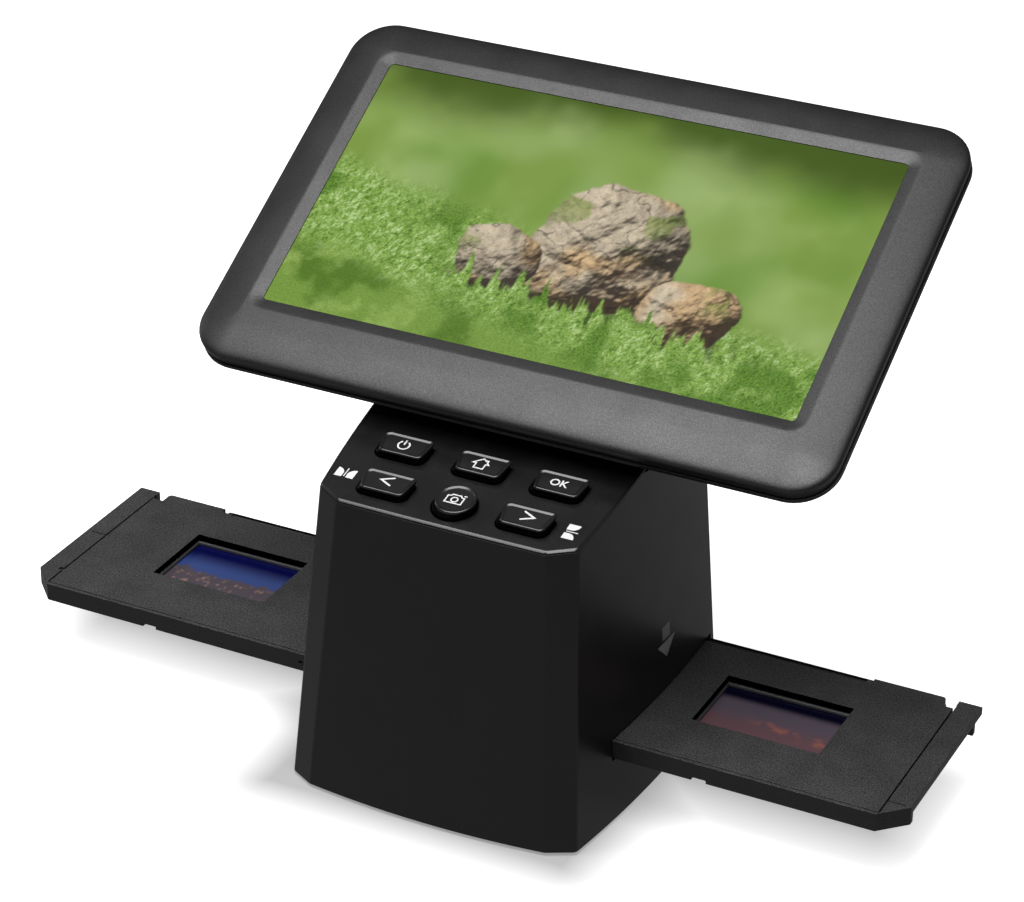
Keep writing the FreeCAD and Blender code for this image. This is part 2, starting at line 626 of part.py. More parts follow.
def rear_seam(height):
    """Where the rear cover meets the main shell."""
    return between(S.base_rear_reach, S.deck_rear_reach, height)


roof_under = roof_height - S.shell_wall - S.seam
above_walls = side_prism([(-afar, deck_under(-afar)), (S.deck_end, deck_under(S.deck_end)),
                          (S.deck_end, roof_under), (afar, roof_under), (afar, sky),
                          (-afar, sky)])
walls = tapered(S.foot_rise, sky, 0).cut(tapered(0, sky + S.overrun, S.shell_wall))
walls = walls.cut(above_walls)


def behind_seam(gap):
    """Everything behind the rear seam, kept a gap away from it."""
    return side_prism([(rear_seam(0) + gap, 0), (afar, 0), (afar, sky),
                       (rear_seam(sky) + gap, sky)])


tray_top = S.tray_bottom + S.tray_thick
slot = Part.makeBox(2 * afar, S.tray_far - S.tray_near + 2 * S.slot_gap,
                    S.tray_thick + 2 * S.slot_gap,
                    Vector(-afar, S.tray_near - S.slot_gap, S.tray_bottom - S.slot_gap))
main_shell = walls.cut(behind_seam(-S.seam)).cut(slot)
keep(made_shape("main_shell", main_shell), "main_shell")

socket_height = S.gate_top + S.socket_up
SOCKETS = [("usb_socket", "usb_side", "usb_wide", "usb_tall"),
           ("hdmi_socket", "hdmi_side", "hdmi_wide", "hdmi_tall"),
           ("card_socket", "card_side", "card_wide", "card_tall")]
rear_cover = walls.common(behind_seam(0))
for name, side, wide, tall in SOCKETS:
    hole_wide = getattr(S, wide) + 2 * S.socket_play
    hole_tall = getattr(S, tall) + 2 * S.socket_play
    corner = Vector(getattr(S, side) - hole_wide / 2, 0, socket_height - hole_tall / 2)
    rear_cover = rear_cover.cut(Part.makeBox(hole_wide, afar, hole_tall, corner))
keep(made_shape("rear_cover", rear_cover), "rear_cover")

# The base plate and its feet

base_plate = tapered(plate_low, plate_high, S.shell_wall + S.seam)
FEET = [(side * S.foot_side, y) for side in (-1, 1) for y in (-S.foot_front, S.foot_back)]
for x, y in FEET:
    seat = Part.makeCylinder(S.foot_radius + S.seam, S.overrun,
                             Vector(x, y, plate_low + S.foot_sink - S.overrun))
    base_plate = base_plate.cut(seat)
BASE_SCREWS = [(side * S.ear_front_side, S.tray_near - S.run_gap - S.channel_wall - S.ear_front / 2)
               for side in (-1, 1)]
BASE_SCREWS += [(side * S.ear_back_side, S.tray_far + S.run_gap + S.channel_wall + S.ear_back / 2)
                for side in (-1, 1)]
for x, y in BASE_SCREWS:
    shaft = Part.makeCylinder(S.screw_radius + S.screw_play, plate_high, Vector(x, y, 0))
    head = Part.makeCylinder(S.screw_head + S.screw_play, S.screw_head_tall,
                             Vector(x, y, plate_low))
    base_plate = base_plate.cut(shaft).cut(head)
for x in (-S.lamp_board_half, S.lamp_board_half):
    for y in (-S.lamp_board_reach, S.lamp_board_reach):
        inward = S.leg_radius
        spot = Vector(x - math.copysign(inward, x), S.gate_back + y - math.copysign(inward, y),
                      plate_high)
        base_plate = base_plate.fuse(Part.makeCylinder(S.leg_radius, S.lamp_board_lift, spot))
keep(made_shape("base_plate", base_plate.removeSplitter()), "base_plate")

feet = [upright(x, y, "0", "foot_rise + plate_lift + foot_sink", "foot_radius")
        for x in ("-foot_side", "foot_side") for y in ("-foot_front", "foot_back")]
keep(joined(*feet), "rubber_feet")

PLATE_LOW = "foot_rise + plate_lift"
PLATE_HIGH = PLATE_LOW + " + plate_thick"
EAR_SPOTS = [("-ear_front_side", "tray_near - run_gap - channel_wall - ear_front / 2"),
             ("ear_front_side", "tray_near - run_gap - channel_wall - ear_front / 2"),
             ("-ear_back_side", "tray_far + run_gap + channel_wall + ear_back / 2"),
             ("ear_back_side", "tray_far + run_gap + channel_wall + ear_back / 2")]
screws = []
for x, y in EAR_SPOTS:
    screws.append(joined(upright(x, y, PLATE_LOW, PLATE_LOW + " + screw_head_tall",
                                 "screw_head"),
                         upright(x, y, PLATE_LOW, PLATE_LOW + " + base_screw_long",
                                 "screw_radius")))
keep(joined(*screws), "base_screws")

# The key deck, in its own sloping frame

deck_long = (S.deck_end + S.deck_front_reach) / math.cos(slope)


def deck_sketch(body):
    """The deck's outline: the front edge, two cut corners, two bowed sides and the rear edge."""
    sketch = new_sketch(body, "-deck_thick")
    front = S.deck_front_half
    corner = S.deck_corner_half
    step = (S.deck_front_reach - S.deck_corner_reach) / math.cos(slope)
    ground = outline(roof_height, 0)
    strip = Part.makeLine(Vector(0, S.deck_end, roof_height),
                          Vector(afar, S.deck_end, roof_height))
    rear = ground.distToShape(strip)[1][0][0].x
    middle_y = (step + deck_long) / 2
    middle_height = S.deck_height + middle_y * math.sin(slope)
    middle_back = middle_y * math.cos(slope) - S.deck_front_reach
    probe = Part.makeLine(Vector(0, middle_back, middle_height),
                          Vector(afar, middle_back, middle_height))
    middle = outline(middle_height, 0).distToShape(probe)[1][0][0].x
    right = [Vector(front, 0, 0), Vector(corner, step, 0), Vector(middle, middle_y, 0),
             Vector(rear, deck_long, 0)]
    left = [Vector(-point.x, point.y, 0) for point in right]
    curves = [Part.LineSegment(left[0], right[0]), Part.LineSegment(right[0], right[1]),
              Part.Arc(right[1], right[2], right[3]), Part.LineSegment(right[3], left[3]),
              Part.Arc(left[3], left[2], left[1]), Part.LineSegment(left[1], left[0])]
    for curve in curves:
        sketch.addGeometry(curve)
    return sketch


KEYS = [("key_power", "-key_rear_side", "key_rear_row"),
        ("key_home", "0", "key_rear_row"),
        ("key_ok", "key_rear_side", "key_rear_row"),
        ("key_left", "-key_front_side", "key_front_row"),
        ("key_right", "key_front_side", "key_front_row")]
ROUND_KEY = ("key_camera", "0", "key_front_row")

body = new_body()
pad = padded(body, deck_sketch(body), "deck_thick")


def soft_rim(edge):
    """An upper edge of the deck, apart from the rear one."""
    return at_level(edge, 0) and edge.BoundBox.YMin < deck_long - S.deck_thick


rounded(body, pad, soft_rim, "deck_round")
holes = [("%s - key_width / 2 - run_gap" % x, "%s + key_width / 2 + run_gap" % x,
          "%s - key_long / 2 - run_gap" % y, "%s + key_long / 2 + run_gap" % y)
         for name, x, y in KEYS]
cut_holes = pocketed(body, rectangles(body, "0", holes), "deck_thick + overrun")


def hole_corner(edge):
    """An upright edge inside the deck's outline."""
    spot = edge.BoundBox.Center
    inside = abs(spot.x) < S.key_rear_side + S.key_width
    return upright_edge(edge) and inside and S.key_edge < spot.y < deck_long - S.key_edge


cut_holes = rounded(body, cut_holes, hole_corner, "key_corner + run_gap")
pocketed(body, discs(body, "0", [(ROUND_KEY[1], ROUND_KEY[2], "key_round_radius + run_gap")]),
         "deck_thick + overrun")
POSTS = [("-post_front_side", "key_front_row"), ("post_front_side", "key_front_row"),
         ("-post_rear_side", "key_rear_row"), ("post_rear_side", "key_rear_row")]
KEY_LOW = "(deck_thick + run_gap + key_flange_thick)"
SWITCH_TOP = "(%s + key_travel + run_gap)" % KEY_LOW
BOARD_TOP = "(%s + plunger_tall + switch_tall)" % SWITCH_TOP
posts = discs(body, "-" + BOARD_TOP, [(x, y, "post_radius") for x, y in POSTS])
padded(body, posts, "%s - deck_thick" % BOARD_TOP)
keep(body, "control_deck", "deck")

for name, x, y in KEYS:
    body = new_body()
    flange = [("%s - key_width / 2 - key_flange" % x, "%s + key_width / 2 + key_flange" % x,
               "%s - key_long / 2 - key_flange" % y, "%s + key_long / 2 + key_flange" % y)]
    cap = [("%s - key_width / 2" % x, "%s + key_width / 2" % x,
            "%s - key_long / 2" % y, "%s + key_long / 2" % y)]
    last = padded(body, rectangles(body, "-" + KEY_LOW, flange), "key_flange_thick")
    last = padded(body, rectangles(body, "-(deck_thick + run_gap)", cap),
                  "deck_thick + run_gap + key_proud")
    last = rounded(body, last, lambda edge: upright_edge(edge) and edge.BoundBox.ZMax > 0,
                   "key_corner")
    last = rounded(body, last, lambda edge: at_level(edge, S.key_proud), "key_edge")
    keep(body, name, "deck")

body = new_body()
last = padded(body, discs(body, "-" + KEY_LOW, [(ROUND_KEY[1], ROUND_KEY[2],
                                                 "key_round_radius + round_flange")]),
              "key_flange_thick")
last = padded(body, discs(body, "-(deck_thick + run_gap)",
                          [(ROUND_KEY[1], ROUND_KEY[2], "key_round_radius")]),
              "deck_thick + run_gap + key_proud")
last = rounded(body, last, lambda edge: at_level(edge, S.key_proud), "key_edge")
keep(body, ROUND_KEY[0], "deck")

switches = []
for name, x, y in KEYS + [ROUND_KEY]:
    case = block("%s - switch_side / 2" % x, "%s + switch_side / 2" % x,
                 "%s - switch_side / 2" % y, "%s + switch_side / 2" % y,
                 "-" + BOARD_TOP, "-%s + switch_tall" % BOARD_TOP)
    plunger = upright(x, y, "-%s + switch_tall" % BOARD_TOP, "-" + SWITCH_TOP, "plunger_radius")
    switches.append(joined(case, plunger))
keep(joined(*switches), "key_switches", "deck")
keep(block("-key_board_half", "key_board_half", "key_board_start", "key_board_end",
           "-%s - board_thick" % BOARD_TOP, "-" + BOARD_TOP), "key_board", "deck")

# The top cover behind the deck, with two wells for the hinges

top_cover = tapered(roof_height - S.shell_wall, roof_height, 0)
cover_front = S.deck_end + S.deck_thick * math.sin(slope) + S.seam
top_cover = top_cover.common(side_prism([(cover_front, 0), (afar, 0), (afar, sky),
                                         (cover_front, sky)]))
well_floor = S.hinge_height - S.well_deep
well_start = S.knuckle_start - S.run_gap - S.bracket_ear - S.well_gap
well_end = S.knuckle_end + S.run_gap + S.bracket_ear + S.well_gap
bracket_top = well_floor + S.bracket_plate
HINGE_SCREWS = [S.knuckle_start + S.hinge_screw_head + S.run_gap,
                S.knuckle_end - S.hinge_screw_head - S.run_gap]
over_deck = side_prism([(-afar, deck_under(-afar)), (cover_front, deck_under(cover_front)),
                        (cover_front, sky), (-afar, sky)])
for side in (-1, 1):
    middle = side * (well_start + well_end) / 2
    long = well_end - well_start
    room = Part.makeBox(long, 2 * S.well_room, sky - well_floor,
                        Vector(middle - long / 2, S.hinge_back - S.well_room, well_floor))
    case = Part.makeBox(long + 2 * S.well_wall, 2 * (S.well_room + S.well_wall),
                        roof_height - S.shell_wall - well_floor + S.well_wall,
                        Vector(middle - long / 2 - S.well_wall,
                               S.hinge_back - S.well_room - S.well_wall,
                               well_floor - S.well_wall))
    top_cover = top_cover.fuse(case)
    for x in HINGE_SCREWS:
        boss = Part.makeCylinder(S.boss_radius, S.boss_tall,
                                 Vector(side * x, S.hinge_back,
                                        well_floor - S.well_wall - S.boss_tall))
        top_cover = top_cover.fuse(boss)
    top_cover = top_cover.cut(room).cut(over_deck)
    for x in HINGE_SCREWS:
        hole = Part.makeCylinder(S.hinge_screw_radius + S.screw_play, S.boss_tall + S.well_wall,
                                 Vector(side * x, S.hinge_back,
                                        well_floor - S.well_wall - S.boss_tall))
        top_cover = top_cover.cut(hole)
keep(made_shape("top_cover", top_cover.removeSplitter()), "top_cover")

WELL_FLOOR = "(hinge_height - well_deep)"
INNER_EAR = ("knuckle_start - run_gap - bracket_ear", "knuckle_start - run_gap")
OUTER_EAR = ("knuckle_end + run_gap", "knuckle_end + run_gap + bracket_ear")


def sided(side, low, high):
    """A stretch along X on the right, or its mirror image on the left."""
    if side > 0:
        return low, high
    return "-(%s)" % high, "-(%s)" % low


hinge_screws = []
for side, word in ((-1, "left"), (1, "right")):
    x0, x1 = sided(side, INNER_EAR[0], OUTER_EAR[1])
    solids = [block(x0, x1, "hinge_back - bracket_radius", "hinge_back + bracket_radius",
                    WELL_FLOOR, WELL_FLOOR + " + bracket_plate")]
    for ear in (INNER_EAR, OUTER_EAR):
        x0, x1 = sided(side, ear[0], ear[1])
        solids.append(block(x0, x1, "hinge_back - bracket_radius", "hinge_back + bracket_radius",
                            WELL_FLOOR, "hinge_height"))
        solids.append(crossbar(x0, x1, "hinge_back", "hinge_height", "bracket_radius"))
    x0, x1 = sided(side, INNER_EAR[0] + " - overrun", OUTER_EAR[1] + " + overrun")
    cutters = [crossbar(x0, x1, "hinge_back", "hinge_height", "hinge_pin_radius + pin_play")]
    for x in ("knuckle_start + hinge_screw_head + run_gap",
              "knuckle_end - hinge_screw_head - run_gap"):
        spot = x if side > 0 else "-(%s)" % x
        cutters.append(upright(spot, "hinge_back", WELL_FLOOR + " - overrun",
                               WELL_FLOOR + " + bracket_plate + overrun",
                               "hinge_screw_radius + screw_play"))
        head = upright(spot, "hinge_back", WELL_FLOOR + " + bracket_plate",
                       WELL_FLOOR + " + bracket_plate + hinge_screw_head_tall",
                       "hinge_screw_head")
        shank = upright(spot, "hinge_back", WELL_FLOOR + " - well_wall - boss_tall + seam",
                        WELL_FLOOR + " + bracket_plate", "hinge_screw_radius")
        hinge_screws.append(joined(head, shank))
    keep(without(joined(*solids), *cutters), "hinge_bracket_" + word)
    x0, x1 = sided(side, INNER_EAR[0], OUTER_EAR[1])
    shaft = crossbar(x0, x1, "hinge_back", "hinge_height", "hinge_pin_radius")
    x0, x1 = sided(side, OUTER_EAR[1], OUTER_EAR[1] + " + pin_head_thick")
    outer_head = crossbar(x0, x1, "hinge_back", "hinge_height", "pin_head_radius")
    x0, x1 = sided(side, INNER_EAR[0] + " - pin_head_thick", INNER_EAR[0])
    inner_head = crossbar(x0, x1, "hinge_back", "hinge_height", "pin_head_radius")
    keep(joined(shaft, outer_head, inner_head), "hinge_pin_" + word)
    x0, x1 = sided(side, "knuckle_start", "knuckle_end")
    bush = crossbar(x0, x1, "0", "0", "bush_radius - pin_play")
    bore = crossbar(x0 + " - overrun", x1 + " + overrun", "0", "0", "hinge_pin_radius + pin_play")
    keep(without(bush, bore), "hinge_bush_" + word, "display")
keep(joined(*hinge_screws), "hinge_screws")

# The film gate, its legs and the detent spring

GATE_NEAR = "(tray_near - run_gap - channel_wall)"
GATE_FAR = "(tray_far + run_gap + channel_wall)"
GATE_FLOOR = "(tray_bottom - slide_gap)"
GATE_LOW = "(tray_bottom - slide_gap - channel_floor)"
GATE_TOP = "(tray_bottom + tray_thick + run_gap)"
ROOF_TOP = "gate_top"
SPRING_NEAR = "(tray_near + spring_in)"


def ears(low, high):
    """The four screw ears of a gate plate."""
    made = []
    for side in ("-", ""):
        x = side + "ear_front_side"
        made.append(block(x + " - ear_wide / 2", x + " + ear_wide / 2",
                          GATE_NEAR + " - ear_front", GATE_NEAR, low, high))
        x = side + "ear_back_side"
        made.append(block(x + " - ear_wide / 2", x + " + ear_wide / 2",
                          GATE_FAR, GATE_FAR + " + ear_back", low, high))
    return made


def gate_window(low, high):
    """The cutter of a gate plate's window."""
    return block("-gate_wide / 2", "gate_wide / 2", "gate_back - gate_long / 2",
                 "gate_back + gate_long / 2", low + " - overrun", high + " + overrun")


floor = block("-channel_half", "channel_half", GATE_NEAR, GATE_FAR, GATE_LOW, GATE_FLOOR)
near_wall = block("-channel_half", "channel_half", GATE_NEAR, GATE_NEAR + " + channel_wall",
                  GATE_LOW, GATE_TOP)
far_wall = block("-channel_half", "channel_half", GATE_FAR + " - channel_wall", GATE_FAR,
                 GATE_LOW, GATE_TOP)
legs = [upright(x, y, PLATE_HIGH, GATE_LOW, "leg_radius") for x, y in EAR_SPOTS]
leg_holes = [upright(x, y, "0", PLATE_LOW + " + base_screw_long + seam",
                     "screw_radius + screw_play") for x, y in EAR_SPOTS]
top_holes = [upright(x, y, ROOF_TOP + " - gate_screw_long - seam", ROOF_TOP + " + overrun",
                     "screw_radius + screw_play") for x, y in EAR_SPOTS]
spring_seat = block("-detent_side - spring_long / 2 - run_gap",
                    "-detent_side + spring_long / 2 + run_gap",
                    SPRING_NEAR + " - run_gap", SPRING_NEAR + " + spring_wide + run_gap",
                    GATE_FLOOR + " - 2 * spring_bump", GATE_FLOOR + " + overrun")
solid = joined(floor, near_wall, far_wall, *(ears(GATE_LOW, GATE_TOP) + legs))
keep(without(solid, gate_window(GATE_LOW, GATE_FLOOR), spring_seat, *(leg_holes + top_holes)),
     "channel_lower")
roof = joined(block("-channel_half", "channel_half", GATE_NEAR, GATE_FAR, GATE_TOP, ROOF_TOP),
              *ears(GATE_TOP, ROOF_TOP))
roof_holes = [upright(x, y, GATE_TOP + " - overrun", ROOF_TOP + " + overrun",
                      "screw_radius + screw_play") for x, y in EAR_SPOTS]
keep(without(roof, gate_window(GATE_TOP, ROOF_TOP), *roof_holes), "channel_upper")
screws = []
for x, y in EAR_SPOTS:
    screws.append(joined(upright(x, y, ROOF_TOP, ROOF_TOP + " + screw_head_tall", "screw_head"),
                         upright(x, y, ROOF_TOP + " - gate_screw_long", ROOF_TOP,
                                 "screw_radius")))
keep(joined(*screws), "channel_screws")

SPRING_LOW = "(%s - 2 * spring_bump)" % GATE_FLOOR
strip = block("-detent_side - spring_long / 2", "-detent_side + spring_long / 2", SPRING_NEAR,
              SPRING_NEAR + " + spring_wide", SPRING_LOW, SPRING_LOW + " + spring_thick")
bump = doc.addObject("Part::Cylinder", "bump")
bump.Placement = Placement(Vector(), Rotation(Vector(1, 0, 0), -90))
bump.setExpression("Radius", ex("spring_bump"))
bump.setExpression("Height", ex("spring_wide"))
bump.setExpression("Placement.Base.x", ex("-detent_side"))
bump.setExpression("Placement.Base.y", ex(SPRING_NEAR))
bump.setExpression("Placement.Base.z", ex(SPRING_LOW + " + spring_bump"))
keep(joined(strip, bump), "detent_spring")

# The lamp under the film gate

LAMP_LOW = "(%s + lamp_board_lift)" % PLATE_HIGH
LAMP_HIGH = "(%s + board_thick)" % LAMP_LOW
keep(block("-lamp_board_half", "lamp_board_half", "gate_back - lamp_board_reach",
           "gate_back + lamp_board_reach", LAMP_LOW, LAMP_HIGH), "led_board")
lamps = []
for across in (-1, 0, 1):
    for along in (-1, 0, 1):
        x = "%d * lamp_pitch" % across
        y = "gate_back + %d * lamp_pitch" % along
        lamps.append(block(x + " - lamp_side / 2", x + " + lamp_side / 2", y + " - lamp_side / 2",
                           y + " + lamp_side / 2", LAMP_HIGH, LAMP_HIGH + " + lamp_tall"))
keep(joined(*lamps), "backlight_leds")
keep(ring("-light_half", "light_half", "gate_back - light_reach", "gate_back + light_reach",
          LAMP_HIGH, GATE_LOW + " - diffuser_thick", "light_wall"), "light_box")
keep(block("-light_half", "light_half", "gate_back - light_reach", "gate_back + light_reach",
           GATE_LOW + " - diffuser_thick", GATE_LOW), "diffuser_plate")

# The camera over the film gate

HOOD_TOP = "(%s + hood_tall)" % ROOF_TOP
HOLDER_TOP = "(%s + holder_thick)" % HOOD_TOP
BARREL_LOW = "(%s - barrel_below)" % HOOD_TOP
BARREL_TOP = "(%s + barrel_above)" % HOLDER_TOP
keep(ring("-hood_half", "hood_half", "gate_back - hood_reach", "gate_back + hood_reach",
          ROOF_TOP, HOOD_TOP, "light_wall"), "light_hood")
keep(without(block("-hood_half", "hood_half", "gate_back - hood_reach", "gate_back + hood_reach",
                   HOOD_TOP, HOLDER_TOP),
             upright("0", "gate_back", HOOD_TOP + " - overrun", HOLDER_TOP + " + overrun",
                     "barrel_radius + pin_play")), "lens_holder")
keep(without(joined(upright("0", "gate_back", BARREL_LOW, BARREL_TOP, "barrel_radius"),
                    upright("0", "gate_back", HOLDER_TOP, HOLDER_TOP + " + barrel_flange_thick",
                            "barrel_radius + barrel_flange")),
             upright("0", "gate_back", BARREL_LOW + " - overrun", BARREL_TOP + " + overrun",
                     "barrel_bore")), "lens_barrel")
keep(upright("0", "gate_back", BARREL_LOW + " + lens_in", BARREL_LOW + " + lens_in + lens_thick",
             "barrel_bore - pin_play"), "lens_glass")
keep(block("-sensor_half", "sensor_half", "gate_back - sensor_half", "gate_back + sensor_half",
           BARREL_TOP + " - sensor_tall", BARREL_TOP), "image_sensor")
keep(block("-sensor_board_half", "sensor_board_half", "gate_back - sensor_board_half",
           "gate_back + sensor_board_half", BARREL_TOP, BARREL_TOP + " + board_thick"),
     "sensor_board")

# The main board and its sockets

BOARD_BACK = "(main_board_back + board_thick)"
keep(block("-main_board_half", "main_board_half", "main_board_back", BOARD_BACK, ROOF_TOP,
           ROOF_TOP + " + main_board_tall"), "main_board")
chips = []
for x, side in (("-chip_side", "chip_side"), ("chip_side / 2", "memory_side")):
    chips.append(block(x, "%s + %s" % (x, side), "main_board_back - chip_tall",
                       "main_board_back", ROOF_TOP + " + chip_up",
                       "%s + chip_up + %s" % (ROOF_TOP, side)))
keep(joined(*chips), "main_chips")
SOCKET_END = "(base_back_reach - (base_back_reach - deck_back_reach)" \
             " * (%s + socket_up - foot_rise) / (deck_height - foot_rise) - socket_inset)" \
             % ROOF_TOP
for name, side, wide, tall in SOCKETS:
    middle = ROOF_TOP + " + socket_up"
    case = block("%s - %s / 2" % (side, wide), "%s + %s / 2" % (side, wide), BOARD_BACK,
                 SOCKET_END, "%s - %s / 2" % (middle, tall), "%s + %s / 2" % (middle, tall))
    mouth = block("%s - %s / 2 + socket_wall" % (side, wide),
                  "%s + %s / 2 - socket_wall" % (side, wide),
                  SOCKET_END + " - socket_deep", SOCKET_END + " + overrun",
                  "%s - %s / 2 + socket_wall" % (middle, tall),
                  "%s + %s / 2 - socket_wall" % (middle, tall))
    keep(without(case, mouth), name)

# The slide tray: base, hinged lid, pin and four slides

FIRST_SLIDE = "(tray_middle - (slide_count - 1) * slide_pitch / 2)"
STRIP_END = "(tray_half - strip_wide)"
LID_LOW = "(tray_bottom + tray_thick - lid_thick)"
SEAT_LOW = "(tray_bottom + slide_floor)"
TRAY_TOP = "(tray_bottom + tray_thick)"
LEDGE = "(%s - lid_lift)" % LID_LOW


def centred(x, wide, y, long):
    """A rectangle given by its middle and its sizes."""
    return ("%s - (%s) / 2" % (x, wide), "%s + (%s) / 2" % (x, wide),
            "%s - (%s) / 2" % (y, long), "%s + (%s) / 2" % (y, long))


body = new_body()
last = padded(body, rectangles(body, "tray_bottom",
                               [("tray_middle - tray_half", "tray_middle + tray_half",
                                 "tray_near", "tray_far")]), "tray_thick")
last = chamfered(body, last, lambda edge: upright_edge(edge)
                 and edge.BoundBox.Center.y < S.tray_near + S.rim_wide, "tray_chamfer")
lid_well = [("tray_middle - " + STRIP_END, "tray_middle + " + STRIP_END,
             "tray_near + rim_wide", "tray_far + overrun")]
last = pocketed(body, rectangles(body, TRAY_TOP, lid_well), "%s - %s" % (TRAY_TOP, LEDGE))
hollows = []
for side in (-1, 1):
    x0, x1 = sided(side, "tray_half - leg_inset", "tray_half + overrun")
    middle = "tray_middle + "
    hollows.append((middle + x0, middle + x1, "tray_near + leg_near + leg_wide",
                    "tray_far - leg_far - leg_wide"))
    hollows.append((middle + x0, middle + x1, "tray_far - leg_far", "tray_far + overrun"))
last = pocketed(body, rectangles(body, TRAY_TOP + " - strip_thick", hollows),
                "tray_thick + overrun")
corners = []
for side in (-1, 1):
    x0, x1 = sided(side, STRIP_END + " - corner_notch_wide", STRIP_END)
    corners.append(("tray_middle + " + x0, "tray_middle + " + x1,
                    "tray_far - corner_notch_deep", "tray_far + overrun"))
last = pocketed(body, rectangles(body, TRAY_TOP, corners), "tray_thick + overrun")
seat = pocketed(body, rectangles(body, LEDGE,
                                 [centred(FIRST_SLIDE, "slide_side + 2 * slide_play",
                                          "gate_back", "slide_side + 2 * slide_play")]),
                "%s - %s" % (LEDGE, SEAT_LOW))
hole = pocketed(body, rectangles(body, LEDGE,
                                 [centred(FIRST_SLIDE, "window_wide", "gate_back",
                                          "window_long")]), "tray_thick + overrun")
notch = pocketed(body, rectangles(body, "tray_bottom + detent_deep",
                                  [(FIRST_SLIDE + " - detent_side - detent_wide / 2",
                                    FIRST_SLIDE + " - detent_side + detent_wide / 2",
                                    "tray_near - overrun", "tray_near + detent_long")]),
                 "detent_deep + overrun")
repeated(body, [seat, hole, notch], "slide_count", "slide_pitch")
rail = padded(body, rectangles(body, LEDGE,
                               [("tray_middle - rail_half", "tray_middle + rail_half",
                                 "tray_far - rail_wide", "tray_far")]), "rail_tall")
rail_top = S.tray_bottom + S.tray_thick - S.lid_thick - S.lid_lift + S.rail_tall
rounded(body, rail, lambda edge: at_level(edge, rail_top)
        and edge.BoundBox.XLength > S.rail_half, "rail_round")
body.Label = "tray_base_blank"
PIN_BACK = "tray_far - rail_wide / 2"
PIN_UP = "%s + rail_tall / 2" % LEDGE
PIN_FROM = "tray_middle - rail_half - lid_pin_reach"
PIN_TO = "tray_middle + rail_half + lid_pin_reach"
bore = crossbar(PIN_FROM + " - pin_play", PIN_TO + " + pin_play", PIN_BACK, PIN_UP,
                "lid_pin_radius + pin_play")
keep(without(body, bore), "tray_base")

body = new_body()
last = padded(body, rectangles(body, LID_LOW,
                               [("tray_middle - %s + lid_gap" % STRIP_END,
                                 "tray_middle + %s - lid_gap" % STRIP_END,
                                 "tray_near + rim_wide + lid_gap", "tray_far")]), "lid_thick")
steps = [("tray_middle - rail_half - lid_gap", "tray_middle + rail_half + lid_gap",
          "tray_far - rail_wide - lid_gap", "tray_far + overrun")]
for side in (-1, 1):
    x0, x1 = sided(side, STRIP_END + " - corner_notch_wide", STRIP_END + " + overrun")
    steps.append(("tray_middle + " + x0, "tray_middle + " + x1,
                  "tray_far - corner_notch_deep", "tray_far + overrun"))
last = pocketed(body, rectangles(body, TRAY_TOP, steps), "lid_thick + overrun")
hole = pocketed(body, rectangles(body, TRAY_TOP, [centred(FIRST_SLIDE, "window_wide",
                                                          "gate_back", "window_long")]),
                "lid_thick + overrun")
last = repeated(body, [hole], "slide_count", "slide_pitch")
outer = S.tray_half - S.strip_wide - S.corner_notch_wide
last = rounded(body, last, lambda edge: upright_edge(edge)
               and abs(edge.BoundBox.Center.y - S.tray_far) < SAME_PLACE
               and abs(abs(edge.BoundBox.Center.x - S.tray_middle) - outer) < SAME_PLACE,
               "lid_round")
body.Label = "tray_lid_blank"
keep(without(body, crossbar(PIN_FROM + " - pin_play", PIN_TO + " + pin_play", PIN_BACK, PIN_UP,
                            "lid_pin_radius + pin_play")), "tray_lid")
keep(crossbar(PIN_FROM, PIN_TO, PIN_BACK, PIN_UP, "lid_pin_radius"), "lid_hinge_pin")

for number in range(int(S.slide_count)):
    middle = "(%s + %d * slide_pitch)" % (FIRST_SLIDE, number)
    x0, x1, y0, y1 = centred(middle, "slide_side", "gate_back", "slide_side")
    mount = block(x0, x1, y0, y1, SEAT_LOW, SEAT_LOW + " + slide_thick")
    x0, x1, y0, y1 = centred(middle, "aperture_wide", "gate_back", "aperture_long")
    aperture = block(x0, x1, y0, y1, SEAT_LOW + " - overrun", SEAT_LOW + " + overrun")
    x0, x1, y0, y1 = centred(middle, "film_wide + 2 * seam", "gate_back", "film_long + 2 * seam")
    recess = block(x0, x1, y0, y1, SEAT_LOW + " - overrun", SEAT_LOW + " + film_seat")
    keep(without(mount, aperture, recess), "slide_mount_%d" % (number + 1))
    x0, x1, y0, y1 = centred(middle, "film_wide", "gate_back", "film_long")
    keep(block(x0, x1, y0, y1, SEAT_LOW + " + film_seat - film_thick",
               SEAT_LOW + " + film_seat"), "slide_film_%d" % (number + 1))

# The display, in its own frame: Y up the display from the hinge axis, Z out of the screen

MIDDLE = "screen_up"
FACE = "screen_out"


def display_outline(body, level, inset):
    """The display's outer rectangle, drawn in by an inset."""
    return rectangles(body, level, [("-display_half + " + inset, "display_half - " + inset,
                                     "screen_up - display_low + " + inset,
                                     "screen_up + display_high - " + inset)])


def screen_rectangle(body, level, wide, tall):
    """A rectangle centred on the screen."""
    return rectangles(body, level, [centred("0", wide, MIDDLE, tall)])


body = new_body()
last = padded(body, display_outline(body, FACE + " - bezel_back", "0"),
              "bezel_front + bezel_back")
last = rounded(body, last, upright_edge, "display_corner")
last = rounded(body, last, lambda edge: at_level(edge, S.screen_out + S.bezel_front),
               "bezel_round")
body.Label = "bezel_blank"


